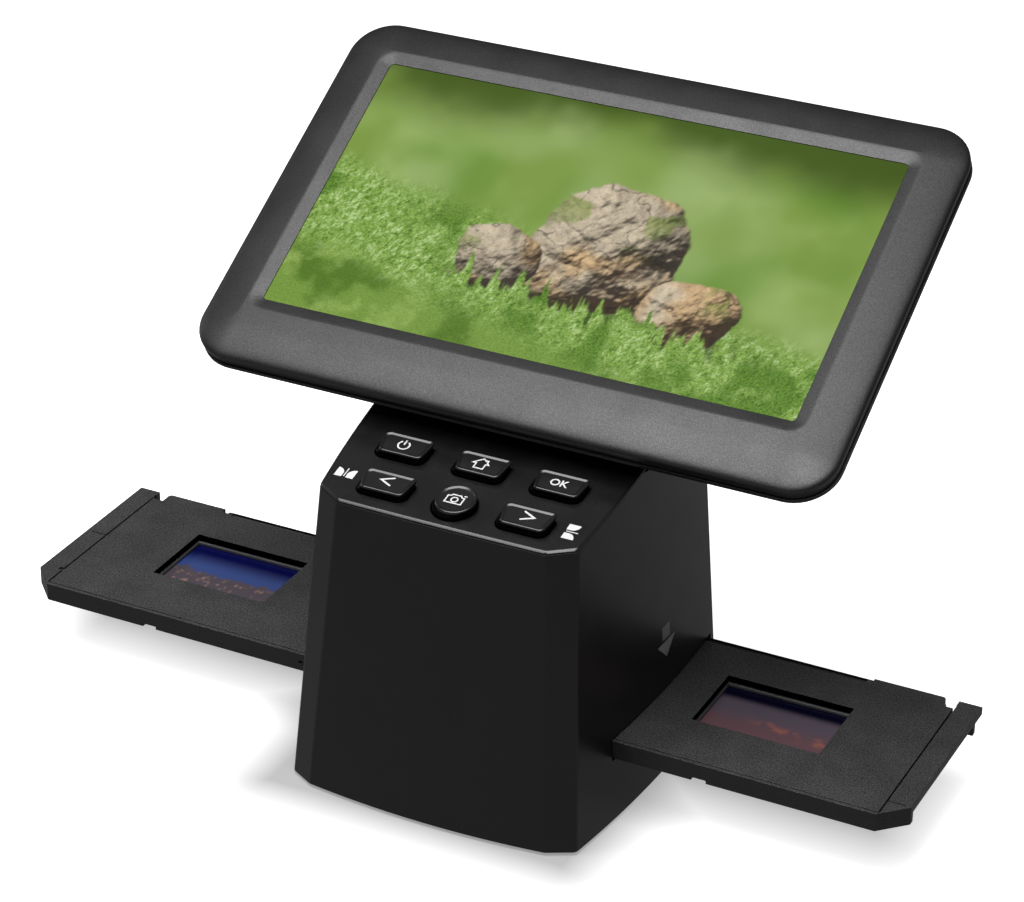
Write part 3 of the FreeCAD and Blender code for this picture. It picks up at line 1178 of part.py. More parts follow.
def screen_frame(level, wide, tall):
    """A rectangular wire centred on the screen."""
    half_wide = wide / 2
    half_tall = tall / 2
    corners = [Vector(-half_wide, S.screen_up - half_tall, level),
               Vector(half_wide, S.screen_up - half_tall, level),
               Vector(half_wide, S.screen_up + half_tall, level),
               Vector(-half_wide, S.screen_up + half_tall, level)]
    return Part.makePolygon(corners + corners[:1])


slope_run = S.bezel_slope / (S.bezel_front - S.bezel_lip)
slope_out = S.bezel_slope + slope_run * S.overrun
funnel = Part.makeLoft([screen_frame(S.screen_out + S.bezel_lip, S.screen_wide, S.screen_tall),
                        screen_frame(S.screen_out + S.bezel_front + S.overrun,
                                     S.screen_wide + 2 * slope_out,
                                     S.screen_tall + 2 * slope_out)], True, True)
funnel_cutter = made_shape("funnel", funnel)
x0, x1, y0, y1 = centred("0", "screen_wide", MIDDLE, "screen_tall")
sight = block(x0, x1, y0, y1, FACE + " - overrun", FACE + " + overrun")
x0, x1, y0, y1 = centred("0", "screen_wide + 2 * bezel_hold + 2 * part_gap", MIDDLE,
                         "screen_tall + 2 * bezel_hold + 2 * part_gap")
glass_seat = block(x0, x1, y0, y1, FACE + " - overrun", FACE)
PANEL_ROOM = ("panel_wide + 2 * panel_play", "panel_tall + 2 * panel_play")
x0, x1, y0, y1 = centred("0", PANEL_ROOM[0], MIDDLE, PANEL_ROOM[1])
PANEL_FRONT = "(screen_out - glass_thick - part_gap)"
panel_seat = block(x0, x1, y0, y1, FACE + " - overrun", PANEL_FRONT + " + part_gap")
keep(without(body, funnel_cutter, sight, glass_seat, panel_seat), "display_bezel", "display")

x0, x1, y0, y1 = centred("0", "screen_wide + 2 * bezel_hold", MIDDLE,
                         "screen_tall + 2 * bezel_hold")
keep(block(x0, x1, y0, y1, FACE + " - glass_thick", FACE), "cover_glass", "display")
x0, x1, y0, y1 = centred("0", "panel_wide", MIDDLE, "panel_tall")
keep(block(x0, x1, y0, y1, PANEL_FRONT + " - panel_thick", PANEL_FRONT), "lcd_module",
     "display")
x0, x1, y0, y1 = centred("0", "display_board_wide", MIDDLE, "display_board_tall")
keep(block(x0, x1, y0, y1, PANEL_FRONT + " - panel_thick - board_thick",
           PANEL_FRONT + " - panel_thick"), "display_board", "display")

FRAME_FRONT = "(screen_out - bezel_back - part_gap)"
body = new_body()
last = padded(body, display_outline(body, FRAME_FRONT + " - frame_thick", "frame_inset"),
              "frame_thick")
last = rounded(body, last, upright_edge, "display_corner - frame_inset")
pocketed(body, screen_rectangle(body, FRAME_FRONT, *PANEL_ROOM), "frame_thick + overrun")
keep(body, "display_frame", "display")


def rounded_wire(level, half, low, high, radius):
    """A rectangle with round corners, as a wire."""
    edges = []
    middles = [(half - radius, low + radius, -90), (half - radius, high - radius, 0),
               (radius - half, high - radius, 90), (radius - half, low + radius, 180)]
    arcs = []
    for x, y, start in middles:
        def spot(turn):
            angle = math.radians(start + turn)
            return Vector(x + radius * math.cos(angle), y + radius * math.sin(angle), level)
        arcs.append((spot(0), spot(45), spot(90)))
    for place, (first, halfway, last_spot) in enumerate(arcs):
        edges.append(Part.Arc(first, halfway, last_spot).toShape())
        edges.append(Part.makeLine(last_spot, arcs[(place + 1) % len(arcs)][0]))
    return Part.Wire(edges)


back_front = S.screen_out - S.bezel_back - S.frame_thick - 2 * S.part_gap
band_end = back_front - S.back_band
hump_face = S.screen_out - S.back_deep
BAND_INSET_SHARE = 0.6


def display_form(inset, front, rear):
    """The outer form of the display back, drawn in by an inset."""
    band_rear = band_end + inset * BAND_INSET_SHARE
    low = S.screen_up - S.display_low + inset
    high = S.screen_up + S.display_high - inset
    hump_low = S.screen_up - S.hump_low + inset
    hump_high = S.screen_up + S.hump_high - inset
    outer = S.display_corner - inset
    rim = rounded_wire(band_rear, S.display_half - inset, low, high, outer)
    band = Part.Face(rounded_wire(front, S.display_half - inset, low, high, outer))
    band = band.extrude(Vector(0, 0, band_rear - front))
    hump = rounded_wire(rear, S.hump_half - inset, hump_low, hump_high, S.hump_corner - inset)
    return band.fuse(Part.makeLoft([rim, hump], True, True)).removeSplitter()


back = display_form(0, back_front, hump_face)
soft_edges = [edge for edge in back.Edges if at_level(edge, hump_face)]
back = back.makeFillet(S.back_round, soft_edges)
back = back.cut(display_form(S.back_wall, back_front + S.overrun, hump_face + S.back_wall))
panel_rear = S.screen_out - S.glass_thick - S.part_gap - S.panel_thick
DISPLAY_SCREWS = [(side * S.display_screw_side, S.screen_up + up)
                  for side in (-1, 1) for up in (-S.display_screw_low, S.display_screw_high)]
for x, y in DISPLAY_SCREWS:
    back = back.fuse(Part.makeCylinder(S.display_boss, panel_rear - hump_face - S.part_gap,
                                       Vector(x, y, hump_face)))
ear_room = S.bracket_radius + S.run_gap
ear_long = S.bracket_ear + S.pin_head_thick + 2 * S.run_gap
for side in (-1, 1):
    start = S.knuckle_start if side > 0 else -S.knuckle_end
    long = S.knuckle_end - S.knuckle_start
    shield = Part.makeCylinder(ear_room + S.well_wall, long + 2 * (ear_long + S.well_wall),
                               Vector(start - ear_long - S.well_wall, 0, 0), Vector(1, 0, 0))
    back = back.fuse(shield.common(display_form(0, back_front, hump_face)))
    for edge in (start - ear_long, start + long):
        back = back.cut(Part.makeCylinder(ear_room, ear_long, Vector(edge, 0, 0),
                                          Vector(1, 0, 0)))
    back = back.fuse(Part.makeCylinder(S.knuckle_radius, long, Vector(start, 0, 0),
                                       Vector(1, 0, 0)))
for x, y in DISPLAY_SCREWS:
    back = back.cut(Part.makeCylinder(S.screw_radius + S.screw_play, S.back_deep,
                                      Vector(x, y, hump_face)))
    back = back.cut(Part.makeCylinder(S.screw_head + S.screw_play, S.screw_head_tall,
                                      Vector(x, y, hump_face)))
for side in (-1, 1):
    start = (S.knuckle_start if side > 0 else -S.knuckle_end) - S.overrun
    back = back.cut(Part.makeCylinder(S.bush_radius,
                                      S.knuckle_end - S.knuckle_start + 2 * S.overrun,
                                      Vector(start, 0, 0), Vector(1, 0, 0)))
keep(made_shape("display_back", back), "display_back", "display")

screws = []
HUMP_FACE = "(screen_out - back_deep)"
for x in ("-display_screw_side", "display_screw_side"):
    for up in ("-display_screw_low", "display_screw_high"):
        y = MIDDLE + " + " + up
        screws.append(joined(upright(x, y, HUMP_FACE, HUMP_FACE + " + screw_head_tall",
                                     "screw_head"),
                             upright(x, y, HUMP_FACE,
                                     PANEL_FRONT + " - panel_thick - part_gap",
                                     "screw_radius")))
keep(joined(*screws), "display_screws", "display")

# Move everything so that the origin is under the middle of the whole object

doc.recompute()
boxes = [piece.Shape.optimalBoundingBox(False) for piece in PIECES]
middle_x = (min(box.XMin for box in boxes) + max(box.XMax for box in boxes)) / 2
middle_y = (min(box.YMin for box in boxes) + max(box.YMax for box in boxes)) / 2
for alias, value in (("move_right", -middle_x), ("move_back", -middle_y)):
    sheet.set("B%d" % (ALIASES.index(alias) + 1), "%.4f" % value)
doc.recompute()

# Check everything, then write one file for each sub-part

for item in doc.Objects:
    if "Invalid" in item.State or "Error" in item.State:
        raise RuntimeError("%s did not build: %s" % (item.Label, item.State))
for piece in PIECES:
    if piece.Shape.isNull() or not piece.Shape.isValid() or not piece.Shape.Solids:
        raise RuntimeError("%s has no valid solid" % piece.Label)

os.makedirs("parts", exist_ok=True)
for piece in PIECES:
    piece.Shape.exportStep(os.path.join("parts", piece.Label + ".step"))
print("%d sub-parts, %d solids, moved %.4f right and %.4f back"
      % (len(PIECES), sum(len(piece.Shape.Solids) for piece in PIECES), -middle_x, -middle_y))
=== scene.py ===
import json
import math

import bmesh
import bpy
import numpy as np
from mathutils import Matrix, Vector


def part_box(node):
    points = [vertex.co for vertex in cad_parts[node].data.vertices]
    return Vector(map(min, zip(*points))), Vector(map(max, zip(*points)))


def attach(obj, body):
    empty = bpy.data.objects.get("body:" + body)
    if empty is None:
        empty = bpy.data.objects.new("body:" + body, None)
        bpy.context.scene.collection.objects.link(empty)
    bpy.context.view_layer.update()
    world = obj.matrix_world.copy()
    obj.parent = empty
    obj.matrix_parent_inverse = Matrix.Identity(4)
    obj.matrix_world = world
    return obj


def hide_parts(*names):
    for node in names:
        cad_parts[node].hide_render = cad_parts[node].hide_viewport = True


bl_info = {
    "name": "Film Scanner Surfaces",
    "version": (1, 0, 0),
    "blender": (4, 5, 0),
    "location": "3D View > Sidebar > Scanner",
    "description": "Finished surfaces for a film scanner, made round its packed solids",
    "category": "Object",
}

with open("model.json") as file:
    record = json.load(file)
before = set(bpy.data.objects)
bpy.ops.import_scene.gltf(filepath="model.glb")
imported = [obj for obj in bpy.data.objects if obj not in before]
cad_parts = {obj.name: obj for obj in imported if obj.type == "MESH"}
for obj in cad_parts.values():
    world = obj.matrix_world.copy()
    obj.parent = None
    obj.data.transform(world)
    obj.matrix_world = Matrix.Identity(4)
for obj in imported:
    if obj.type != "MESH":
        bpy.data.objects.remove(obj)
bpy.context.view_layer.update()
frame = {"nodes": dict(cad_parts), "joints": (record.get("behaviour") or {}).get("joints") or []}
MM = 0.001
FULL_TURN = 2 * math.pi
HINGE = next(joint for joint in frame["joints"] if joint["name"] == "display_tilt")
HINGE_BACK, HINGE_UP = 7.0, 95.2
MOVE_X = HINGE["pos_m"][0]
MOVE_Y = HINGE["pos_m"][1] - HINGE_BACK * MM
DECK_SLOPE = math.radians(13.0)
TILT = math.radians(30.0)
DECK_FRONT, DECK_UP, DECK_END = -37.1, 84.7, 2.0
SCREEN_UP, SCREEN_OUT = 51.27, 14.22
SCREEN_WIDE, SCREEN_TALL = 154.2, 84.4
FOOT_RISE = 1.0
SKY = 100.2


# Places: millimetres from the middle of the scanner's footprint, turned into the frame's metres


def at_body(x, y, z):
    """A point given level with the table."""
    return Vector((x * MM + MOVE_X, y * MM + MOVE_Y, z * MM))


def on_slope(slope, back, height, x, up, out):
    """A point given across, up and out of a slope that starts somewhere on the body."""
    cos, sin = math.cos(slope), math.sin(slope)
    return at_body(x, back + up * cos - out * sin, height + up * sin + out * cos)


def at_deck(x, up, out):
    """A point given on the sloping key deck: across, up the slope and out of it."""
    return on_slope(DECK_SLOPE, DECK_FRONT, DECK_UP, x, up, out)


def at_display(x, up, out):
    """A point given from the middle of the screen: across, up the display and out of it."""
    return on_slope(TILT, HINGE_BACK, HINGE_UP, x, up + SCREEN_UP, out + SCREEN_OUT)


def raised(place, loop, out):
    """A flat loop laid on a surface and moved out of it."""
    return [place(*spot, out) for spot in loop]


# Settings


class ScannerSizes(bpy.types.PropertyGroup):
    """Sizes of the finished surfaces."""

    shell_corner: bpy.props.FloatProperty(
        name="Shell corner radius", description="Rounding of the body's upright corners",
        default=2.4 * MM, unit="LENGTH")
    panel_edge: bpy.props.FloatProperty(
        name="Panel edge", description="Softening of the edges of moulded panels",
        default=0.12 * MM, unit="LENGTH")
    deck_edge: bpy.props.FloatProperty(
        name="Deck edge", description="Width of the bevel along the rim of the key deck",
        default=0.68 * MM, unit="LENGTH")
    key_edge: bpy.props.FloatProperty(
        name="Key edge", description="Rounding along the top of a key",
        default=0.46 * MM, unit="LENGTH")
    print_height: bpy.props.FloatProperty(
        name="Print height", description="How far a printed symbol stands off its surface",
        default=0.04 * MM, unit="LENGTH")
    bezel_crown: bpy.props.FloatProperty(
        name="Bezel crown", description="Width of the rounded outer band of the bezel",
        default=10.7 * MM, unit="LENGTH")
    tray_edge: bpy.props.FloatProperty(
        name="Tray edge", description="Softening of the edges of the tray",
        default=0.25 * MM, unit="LENGTH")
    grain: bpy.props.FloatProperty(
        name="Grain", description="Size of the grain moulded into the display's plastic",
        default=0.4 * MM, unit="LENGTH")


class ScannerColours(bpy.types.PropertyGroup):
    """Colours of the finishes, and the light."""

    housing: bpy.props.FloatVectorProperty(
        name="Housing", description="Satin plastic of the body", subtype="COLOR",
        default=(0.004, 0.004, 0.0043))
    deck: bpy.props.FloatVectorProperty(
        name="Deck", description="Satin plastic of the key deck", subtype="COLOR",
        default=(0.005, 0.005, 0.0053))
    keys: bpy.props.FloatVectorProperty(
        name="Keys", description="Glossy plastic of the keys", subtype="COLOR",
        default=(0.009, 0.009, 0.0094))
    bezel: bpy.props.FloatVectorProperty(
        name="Bezel", description="Grained plastic round the screen", subtype="COLOR",
        default=(0.0045, 0.0045, 0.0048))
    tray: bpy.props.FloatVectorProperty(
        name="Tray", description="Leathery plastic of the slide tray", subtype="COLOR",
        default=(0.04, 0.04, 0.0413))
    symbols: bpy.props.FloatVectorProperty(
        name="Symbols", description="White print of the symbols", subtype="COLOR",
        default=(0.8, 0.8, 0.8))
    screen_light: bpy.props.FloatProperty(
        name="Screen light", description="How strongly the picture on the screen glows",
        default=1.0)
    floor: bpy.props.FloatVectorProperty(
        name="Floor", description="Colour of the table", subtype="COLOR",
        default=(0.86, 0.86, 0.86))


def sizes():
    """The scene's size settings."""
    return bpy.context.scene.scanner_sizes


def colours():
    """The scene's colour settings."""
    return bpy.context.scene.scanner_colours


# Shader nodes


def feed(tree, node, inputs):
    """Set a node's inputs to plain values, or link them to other nodes' sockets."""
    for word, value in inputs.items():
        if isinstance(value, bpy.types.NodeSocket):
            tree.links.new(value, node.inputs[word])
        else:
            node.inputs[word].default_value = value


def added(tree, kind, inputs=None, **settings):
    """A new shader node with its settings and inputs."""
    node = tree.nodes.new("ShaderNode" + kind)
    for word, value in settings.items():
        setattr(node, word, value)
    feed(tree, node, inputs or {})
    return node


def stored(tree, name, output="Fac"):
    """What a mesh keeps under a name."""
    return added(tree, "Attribute", attribute_name=name).outputs[output]


def computed(tree, operation, *values):
    """The result of a calculation."""
    return added(tree, "Math", dict(enumerate(values)), operation=operation).outputs["Value"]


def scaled(tree, colour, share):
    """A colour made stronger or weaker."""
    return added(tree, "VectorMath", {0: colour, "Scale": share},
                 operation="SCALE").outputs["Vector"]


def noise(tree, where, size, detail=3.0, roughness=0.55):
    """Noise with blobs of about one size, in metres."""
    return added(tree, "TexNoise", {"Scale": 1.0 / size, "Detail": detail,
                                    "Roughness": roughness, "Vector": where}).outputs["Fac"]


def spread(tree, value, low, high, start=0.3, end=0.7):
    """A value brought from one range to another."""
    return added(tree, "MapRange", {"From Min": start, "From Max": end, "To Min": low,
                                    "To Max": high, "Value": value}).outputs["Result"]


def blended(tree, factor, first, second):
    """Two colours mixed by a factor."""
    return added(tree, "Mix", {"A": (*first, 1.0), "B": (*second, 1.0), "Factor": factor},
                 data_type="RGBA").outputs["Result"]


# Materials


def blank_material(name):
    """A new material, its nodes and its surface shader."""
    material = bpy.data.materials.new(name)
    material.use_nodes = True
    return material, material.node_tree, material.node_tree.nodes["Principled BSDF"]


def moulded(name, colour, roughness, grain, depth, speckle=0.0, cloud=0.012, vary=0.18,
            metallic=0.0, specular=0.5, sparkle=0.0):
    """Moulded plastic, rubber or metal: grain in relief, cloudy colour and gloss, light specks."""
    material, tree, surface = blank_material(name)
    where = added(tree, "TexCoord").outputs["Object"]
    fine, broad = noise(tree, where, grain, 2.0), noise(tree, where, cloud)
    bump = added(tree, "Bump", {"Strength": 1.0, "Distance": depth, "Height": fine})
    dark, pale = ([part * share for part in colour] for share in (1.0 - vary, 1.0 + vary))
    shade = blended(tree, spread(tree, broad, 0.0, 1.0), dark, pale)
    specks = noise(tree, where, grain * 0.7, 1.0)
    if speckle:
        light = spread(tree, specks, 1.0 - speckle, 1.0 + speckle * 1.6)
        shade = added(tree, "Mix", {"Factor": 1.0, "A": shade, "B": light}, data_type="RGBA",
                      blend_type="MULTIPLY").outputs["Result"]
    gloss = spread(tree, broad, roughness * 0.92, min(roughness * 1.08, 1.0))
    feed(tree, surface, {"Normal": bump.outputs["Normal"], "Base Color": shade,
                         "Roughness": gloss, "Metallic": metallic,
                         "Specular IOR Level": specular})
    if sparkle:
        feed(tree, surface, {"Specular IOR Level": spread(
            tree, specks, specular * (1 - sparkle), specular * (1 + sparkle), 0.25, 0.75)})
    return material


def painted(name, glow, roughness, detail, specular, dyed=False):
    """A painted picture that glows, with noise where asked for, or dyed film that glows less, its
    glow painted light.
    """
    material, tree, surface = blank_material(name)
    paint = added(tree, "VertexColor", layer_name="paint").outputs["Color"]
    blades = noise(tree, stored(tree, "flow", "Vector"), detail, 2.0, 0.7)
    light = computed(tree, "MULTIPLY_ADD", spread(tree, blades, -0.5, 0.5),
                     stored(tree, "sharp"), 1.0)
    lit = scaled(tree, paint, light)
    feed(tree, surface, {"Emission Color": lit, "Emission Strength": glow,
                         "Base Color": (0.004, 0.004, 0.004, 1.0), "Roughness": roughness,
                         "Specular IOR Level": specular})
    if dyed:
        feed(tree, surface, {"Base Color": lit})
    return material


def dimmed(material, colour_share, gloss_share):
    """Scale a finish's colour and gloss by shares worked out in its own tree."""
    tree = material.node_tree
    surface = tree.nodes["Principled BSDF"]
    gloss = surface.inputs["Specular IOR Level"]
    level = gloss.links[0].from_socket if gloss.links else gloss.default_value
    tint_now = surface.inputs["Base Color"].links[0].from_socket
    feed(tree, surface, {"Base Color": scaled(tree, tint_now, colour_share),
                         "Specular IOR Level": computed(tree, "MULTIPLY", level, gloss_share)})


def paint_shade_on_key_walls(material):
    """Darken the keys' colour and gloss on their walls, painted shade for the shadow in the key
    holes; the tops keep the full colour.
    """
    tree = material.node_tree
    share = spread(tree, stored(tree, "top"), 0.1, 1.0, 0.0, 1.0)
    dimmed(material, share, share)


def paint_shade_on_tray_sides(material):
    """Keep the tray's grain on its top and plain on the sides; the sides are darkened as painted
    shade, and the groove and window walls are painted black as shade.
    """
    tree = material.node_tree
    surface = tree.nodes["Principled BSDF"]
    top = stored(tree, "grained")
    feed(tree, tree.nodes["Bump"], {"Strength": spread(tree, top, 0.06, 1.0, 0.0, 1.0)})
    # Painted shade: the sides keep about a fifth of the colour; the groove and window walls turn
    # black and lose their gloss
    lit = spread(tree, top, 0.0, 1.0, -1.0, 0.0)
    share = computed(tree, "MULTIPLY", spread(tree, top, 0.22, 1.0, 0.0, 1.0), lit)
    sparkles = surface.inputs["Specular IOR Level"].links[0].from_socket
    calm = added(tree, "Mix", {"A": 0.5, "B": sparkles, "Factor": top})
    feed(tree, surface, {"Specular IOR Level": calm.outputs["Result"]})
    dimmed(material, share, lit)


# Finishes: colour or the name of its setting, roughness, size (None: the setting's) and depth of
# the grain in millimetres, and what else differs
FINISHES = {
    "housing_plastic": ("housing", 0.33, 0.3, 0.006, {}),
    "deck_plastic": ("deck", 0.27, 0.3, 0.004, {"specular": 0.75}),
    "key_plastic": ("keys", 0.25, 0.4, 0.003, {"specular": 0.8}),
    "bezel_plastic": ("bezel", 0.42, None, 0.03, {"specular": 0.7, "sparkle": 0.36}),
    "display_plastic": ((0.006, 0.006, 0.0063), 0.42, None, 0.018, {}),
    "tray_plastic": ("tray", 0.42, 0.6, 0.16, {"speckle": 0.6, "sparkle": 0.6}),
    "white_print": ("symbols", 0.5, 0.2, 0.004, {"cloud": 0.8 * MM, "vary": 0.05}),
    "rubber": ((0.02, 0.02, 0.02), 0.8, 0.3, 0.02, {}),
    "steel": ((0.45, 0.45, 0.46), 0.32, 0.15, 0.004, {"metallic": 1.0}),
    "dark_steel": ((0.05, 0.05, 0.055), 0.3, 0.2, 0.004, {"metallic": 1.0}),
    "board_green": ((0.02, 0.12, 0.05), 0.4, 0.8, 0.01, {"cloud": 0.004}),
    "chip_black": ((0.02, 0.02, 0.02), 0.55, 0.2, 0.006, {}),
    "gate_black": ((0.014, 0.014, 0.014), 0.6, 0.3, 0.01, {}),
    "white_plastic": ((0.8, 0.8, 0.78), 0.5, 0.3, 0.008, {"vary": 0.04}),
    "bush_plastic": ((0.6, 0.58, 0.5), 0.5, 0.3, 0.008, {"vary": 0.06}),
    "lamp": ((0.85, 0.8, 0.5), 0.3, 0.3, 0.004, {"vary": 0.04}),
    "lens": ((0.02, 0.025, 0.04), 0.06, 2.0, 0.001, {"specular": 0.9}),
    "trim_black": ((0.006, 0.006, 0.006), 0.5, 0.3, 0.008, {}),
    "mount_plastic": ((0.08, 0.08, 0.082), 0.35, 0.4, 0.006, {}),
    "tongue": ((0.01, 0.01, 0.01), 0.5, 0.3, 0.006, {}),
    "side_print": ((0.3, 0.3, 0.3), 0.5, 0.2, 0.003, {"vary": 0.1}),
}


# Changes made to finishes after they are made: painted shade on the keys' walls, and on the tray's
# sides, groove and window walls
CHANGES = {"key_plastic": paint_shade_on_key_walls, "tray_plastic": paint_shade_on_tray_sides}
MATERIALS = {}


def finish_of(kind):
    """A finish by its name, made when it is first asked for."""
    if kind not in MATERIALS:
        colour, roughness, grain, depth, more = FINISHES[kind]
        colour = tuple(getattr(colours(), colour)) if isinstance(colour, str) else colour
        grain = grain * MM if grain else sizes().grain
        MATERIALS[kind] = moulded(kind, colour, roughness, grain, depth * MM, **more)
        if kind in CHANGES:
            CHANGES[kind](MATERIALS[kind])
    return MATERIALS[kind]


# Mesh making


def placed(name, mesh):
    """A new object in the scene."""
    piece = bpy.data.objects.new(name, mesh)
    bpy.context.scene.collection.objects.link(piece)
    return piece


def linked(name, mesh, material):
    """A new object in the scene with one material."""
    mesh.materials.clear()
    mesh.materials.append(material)
    return placed(name, mesh)


def plain_mesh(piece):
    """A new mesh of a piece with its modifiers worked in."""
    graph = bpy.context.evaluated_depsgraph_get()
    return bpy.data.meshes.new_from_object(piece.evaluated_get(graph))


def baked(piece):
    """Turn a piece's modifiers into plain mesh."""
    mesh = plain_mesh(piece)
    piece.modifiers.clear()
    piece.data = mesh
    return piece


def shaded(piece, angle):
    """Shade a piece smooth, but for edges sharper than an angle."""
    piece.data.shade_smooth()
    piece.data.set_sharp_from_angle(angle=math.radians(angle))
    return piece


def settled(piece, angle=35.0):
    """Finish a piece: plain mesh, shaded smooth up to an angle."""
    shaded(piece, angle).modifiers.new("even_shading", "WEIGHTED_NORMAL").keep_sharp = True
    return baked(piece)


def cut_from(piece, tool, operation="DIFFERENCE"):
    """Cut a tool out of a piece, or join it, and throw the tool away."""
    change = piece.modifiers.new("cut", "BOOLEAN")
    change.operation = operation
    change.solver = "EXACT"
    change.object = tool
    baked(piece)
    bpy.data.objects.remove(tool)


def soften(piece, width, segments=2):
    """Round the sharp edges of a piece."""
    bevel = piece.modifiers.new("soft_edges", "BEVEL")
    bevel.width = width
    bevel.segments = segments
    bevel.limit_method = "ANGLE"
    bevel.angle_limit = math.radians(30.0)
    bevel.harden_normals = False
    return piece


def given(piece, body, slot, *nodes):
    """Hand a finished piece to the body that carries it."""
    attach(piece, body)
    if nodes:
        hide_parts(*nodes)


def as_mesh(name, build):
    """Turn a build into a mesh."""
    mesh = bpy.data.meshes.new(name)
    build.to_mesh(mesh)
    build.free()
    return mesh


def outward(name, build):
    """Turn a build into a mesh with its faces turned outward."""
    bmesh.ops.recalc_face_normals(build, faces=build.faces)
    return as_mesh(name, build)


def stacked(build, loops):
    """Make walls between loops with equal counts."""
    rows = [[build.verts.new(point) for point in loop] for loop in loops]
    for low, high in zip(rows, rows[1:]):
        for place in range(len(low)):
            after = (place + 1) % len(low)
            build.faces.new((low[place], low[after], high[after], high[place]))
    return rows


def closed_mesh(name, stacks, caps):
    """A mesh from stacks of loops, with flat caps between named loops."""
    build = bmesh.new()
    made = [stacked(build, loops) for loops in stacks]
    for cap in caps:
        edges = []
        for stack, level in cap:
            row = made[stack][level]
            for pair in zip(row, row[1:] + row[:1]):
                edges.append(build.edges.get(pair) or build.edges.new(pair))
        bmesh.ops.triangle_fill(build, use_beauty=True, edges=edges)
    return outward(name, build)


def solid(name, loops):
    """A mesh from one stack of loops, closed at both ends."""
    return closed_mesh(name, [loops], [[(0, 0)], [(0, len(loops) - 1)]])


def tool(loops):
    """A solid to cut with, to join or to copy."""
    return placed("tool", solid("tool", loops))


def left_of(step):
    """A flat direction turned a quarter to the left."""
    return Vector((-step.y, step.x))


def soft_loop(corners, inset=0.0, steps=6, smallest=0.05):
    """Points round a convex outline of (x, y, radius) corners, counterclockwise."""
    spots = [Vector(corner[:2]) for corner in corners]
    loop = []
    for place, here in enumerate(spots):
        going = (here - spots[place - 1]).normalized()
        leaving = (spots[(place + 1) % len(spots)] - here).normalized()
        inward = left_of(going)
        turn = -going.angle_signed(leaving)
        middle = (inward + left_of(leaving)).normalized()
        corner = here + middle * (inset / math.cos(turn / 2))
        radius = corners[place][2]
        if radius <= 0:
            loop.append(corner)
            continue
        radius = max(radius - inset, smallest)
        centre = corner + middle * (radius / math.cos(turn / 2))
        start = math.atan2(-inward.y, -inward.x)
        for step in range(steps + 1):
            angle = start + turn * step / steps
            loop.append(centre + Vector((math.cos(angle), math.sin(angle))) * radius)
    return loop


def rectangle(left, right, low, high, radius):
    """Corners of a rectangle for soft_loop."""
    return [(left, low, radius), (right, low, radius), (right, high, radius),
            (left, high, radius)]


def circle(x, y, radius, sides):
    """Points round a circle."""
    return [(x + radius * math.cos(turn), y + radius * math.sin(turn))
            for turn in np.linspace(0, FULL_TURN, sides, endpoint=False)]


def block(place, x0, x1, y0, y1, z0, z1):
    """A plain block."""
    return tool([raised(place, ((x0, y0), (x1, y0), (x1, y1), (x0, y1)), z) for z in (z0, z1)])


def bar(place, x0, x1, y, z, radius):
    """A round bar along X."""
    return tool([[place(x, *spot) for spot in circle(y, z, radius, 40)] for x in (x0, x1)])


def turned(profile, sides=36):
    """A shape turned round Z from (radius, height) points in millimetres."""
    return tool([[Vector((*spot, height)) * MM for spot in circle(0, 0, radius, sides)]
                 for radius, height in profile])


def softened(name, node, material, width, segments=2):
    """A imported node's copy, merged and flattened, with softened edges."""
    mesh = frame["nodes"][node].data.copy()
    if "custom_normal" in mesh.attributes:
        mesh.attributes.remove(mesh.attributes["custom_normal"])
    build = bmesh.new()
    build.from_mesh(mesh)
    bmesh.ops.remove_doubles(build, verts=build.verts, dist=0.002 * MM)
    bmesh.ops.dissolve_limit(build, angle_limit=math.radians(0.5), verts=build.verts,
                             edges=build.edges)
    return soften(linked(name, as_mesh(name, build), material), width, segments)


def flat_print(name, place, level, outlines, height):
    """A printed mark: flat shapes of 2D points, standing a little off their surface."""
    stacks, caps = [], []
    for shape in outlines:
        first = len(stacks)
        stacks += [[raised(place, points, out) for out in (level, level + height / MM)]
                   for points in shape]
        caps += [[(stack, end) for stack in range(first, len(stacks))] for end in (0, 1)]
    return closed_mesh(name, stacks, caps)


def ribbon(points, width, closed=False):
    """Outlines of a line of even width along a path: one loop, or two when it is closed."""
    spots = [Vector(point) for point in points]
    steps = [(after - here).normalized() for here, after in zip(spots, spots[1:] + spots[:1])]
    left, right = [], []
    for place, here in enumerate(spots):
        going = steps[place - 1] if place or closed else steps[0]
        leaving = steps[place] if place < len(spots) - 1 or closed else going
        side = (left_of(going) + left_of(leaving)).normalized()
        reach = width / 2 / max(side.dot(left_of(going)), 0.35)
        left.append(here + side * reach)
        right.append(here - side * reach)
    return [left, right] if closed else [left + right[::-1]]


def arc(x, y, radius, start, end, steps=24):
    """Points along an arc, with angles in degrees."""
    return [(x + radius * math.cos(turn), y + radius * math.sin(turn))
            for turn in np.radians(np.linspace(start, end, steps + 1))]


def note(mesh, name, kind, domain, values):
    """Keep values in a mesh under a name, for its finish to read."""
    layers = mesh.color_attributes if kind == "FLOAT_COLOR" else mesh.attributes
    word = {"FLOAT": "value", "FLOAT_VECTOR": "vector", "FLOAT_COLOR": "color"}[kind]
    layers.new(name, kind, domain).data.foreach_set(word, np.asarray(values, np.float32).ravel())


# Geometry Nodes: copies of a pattern on spots


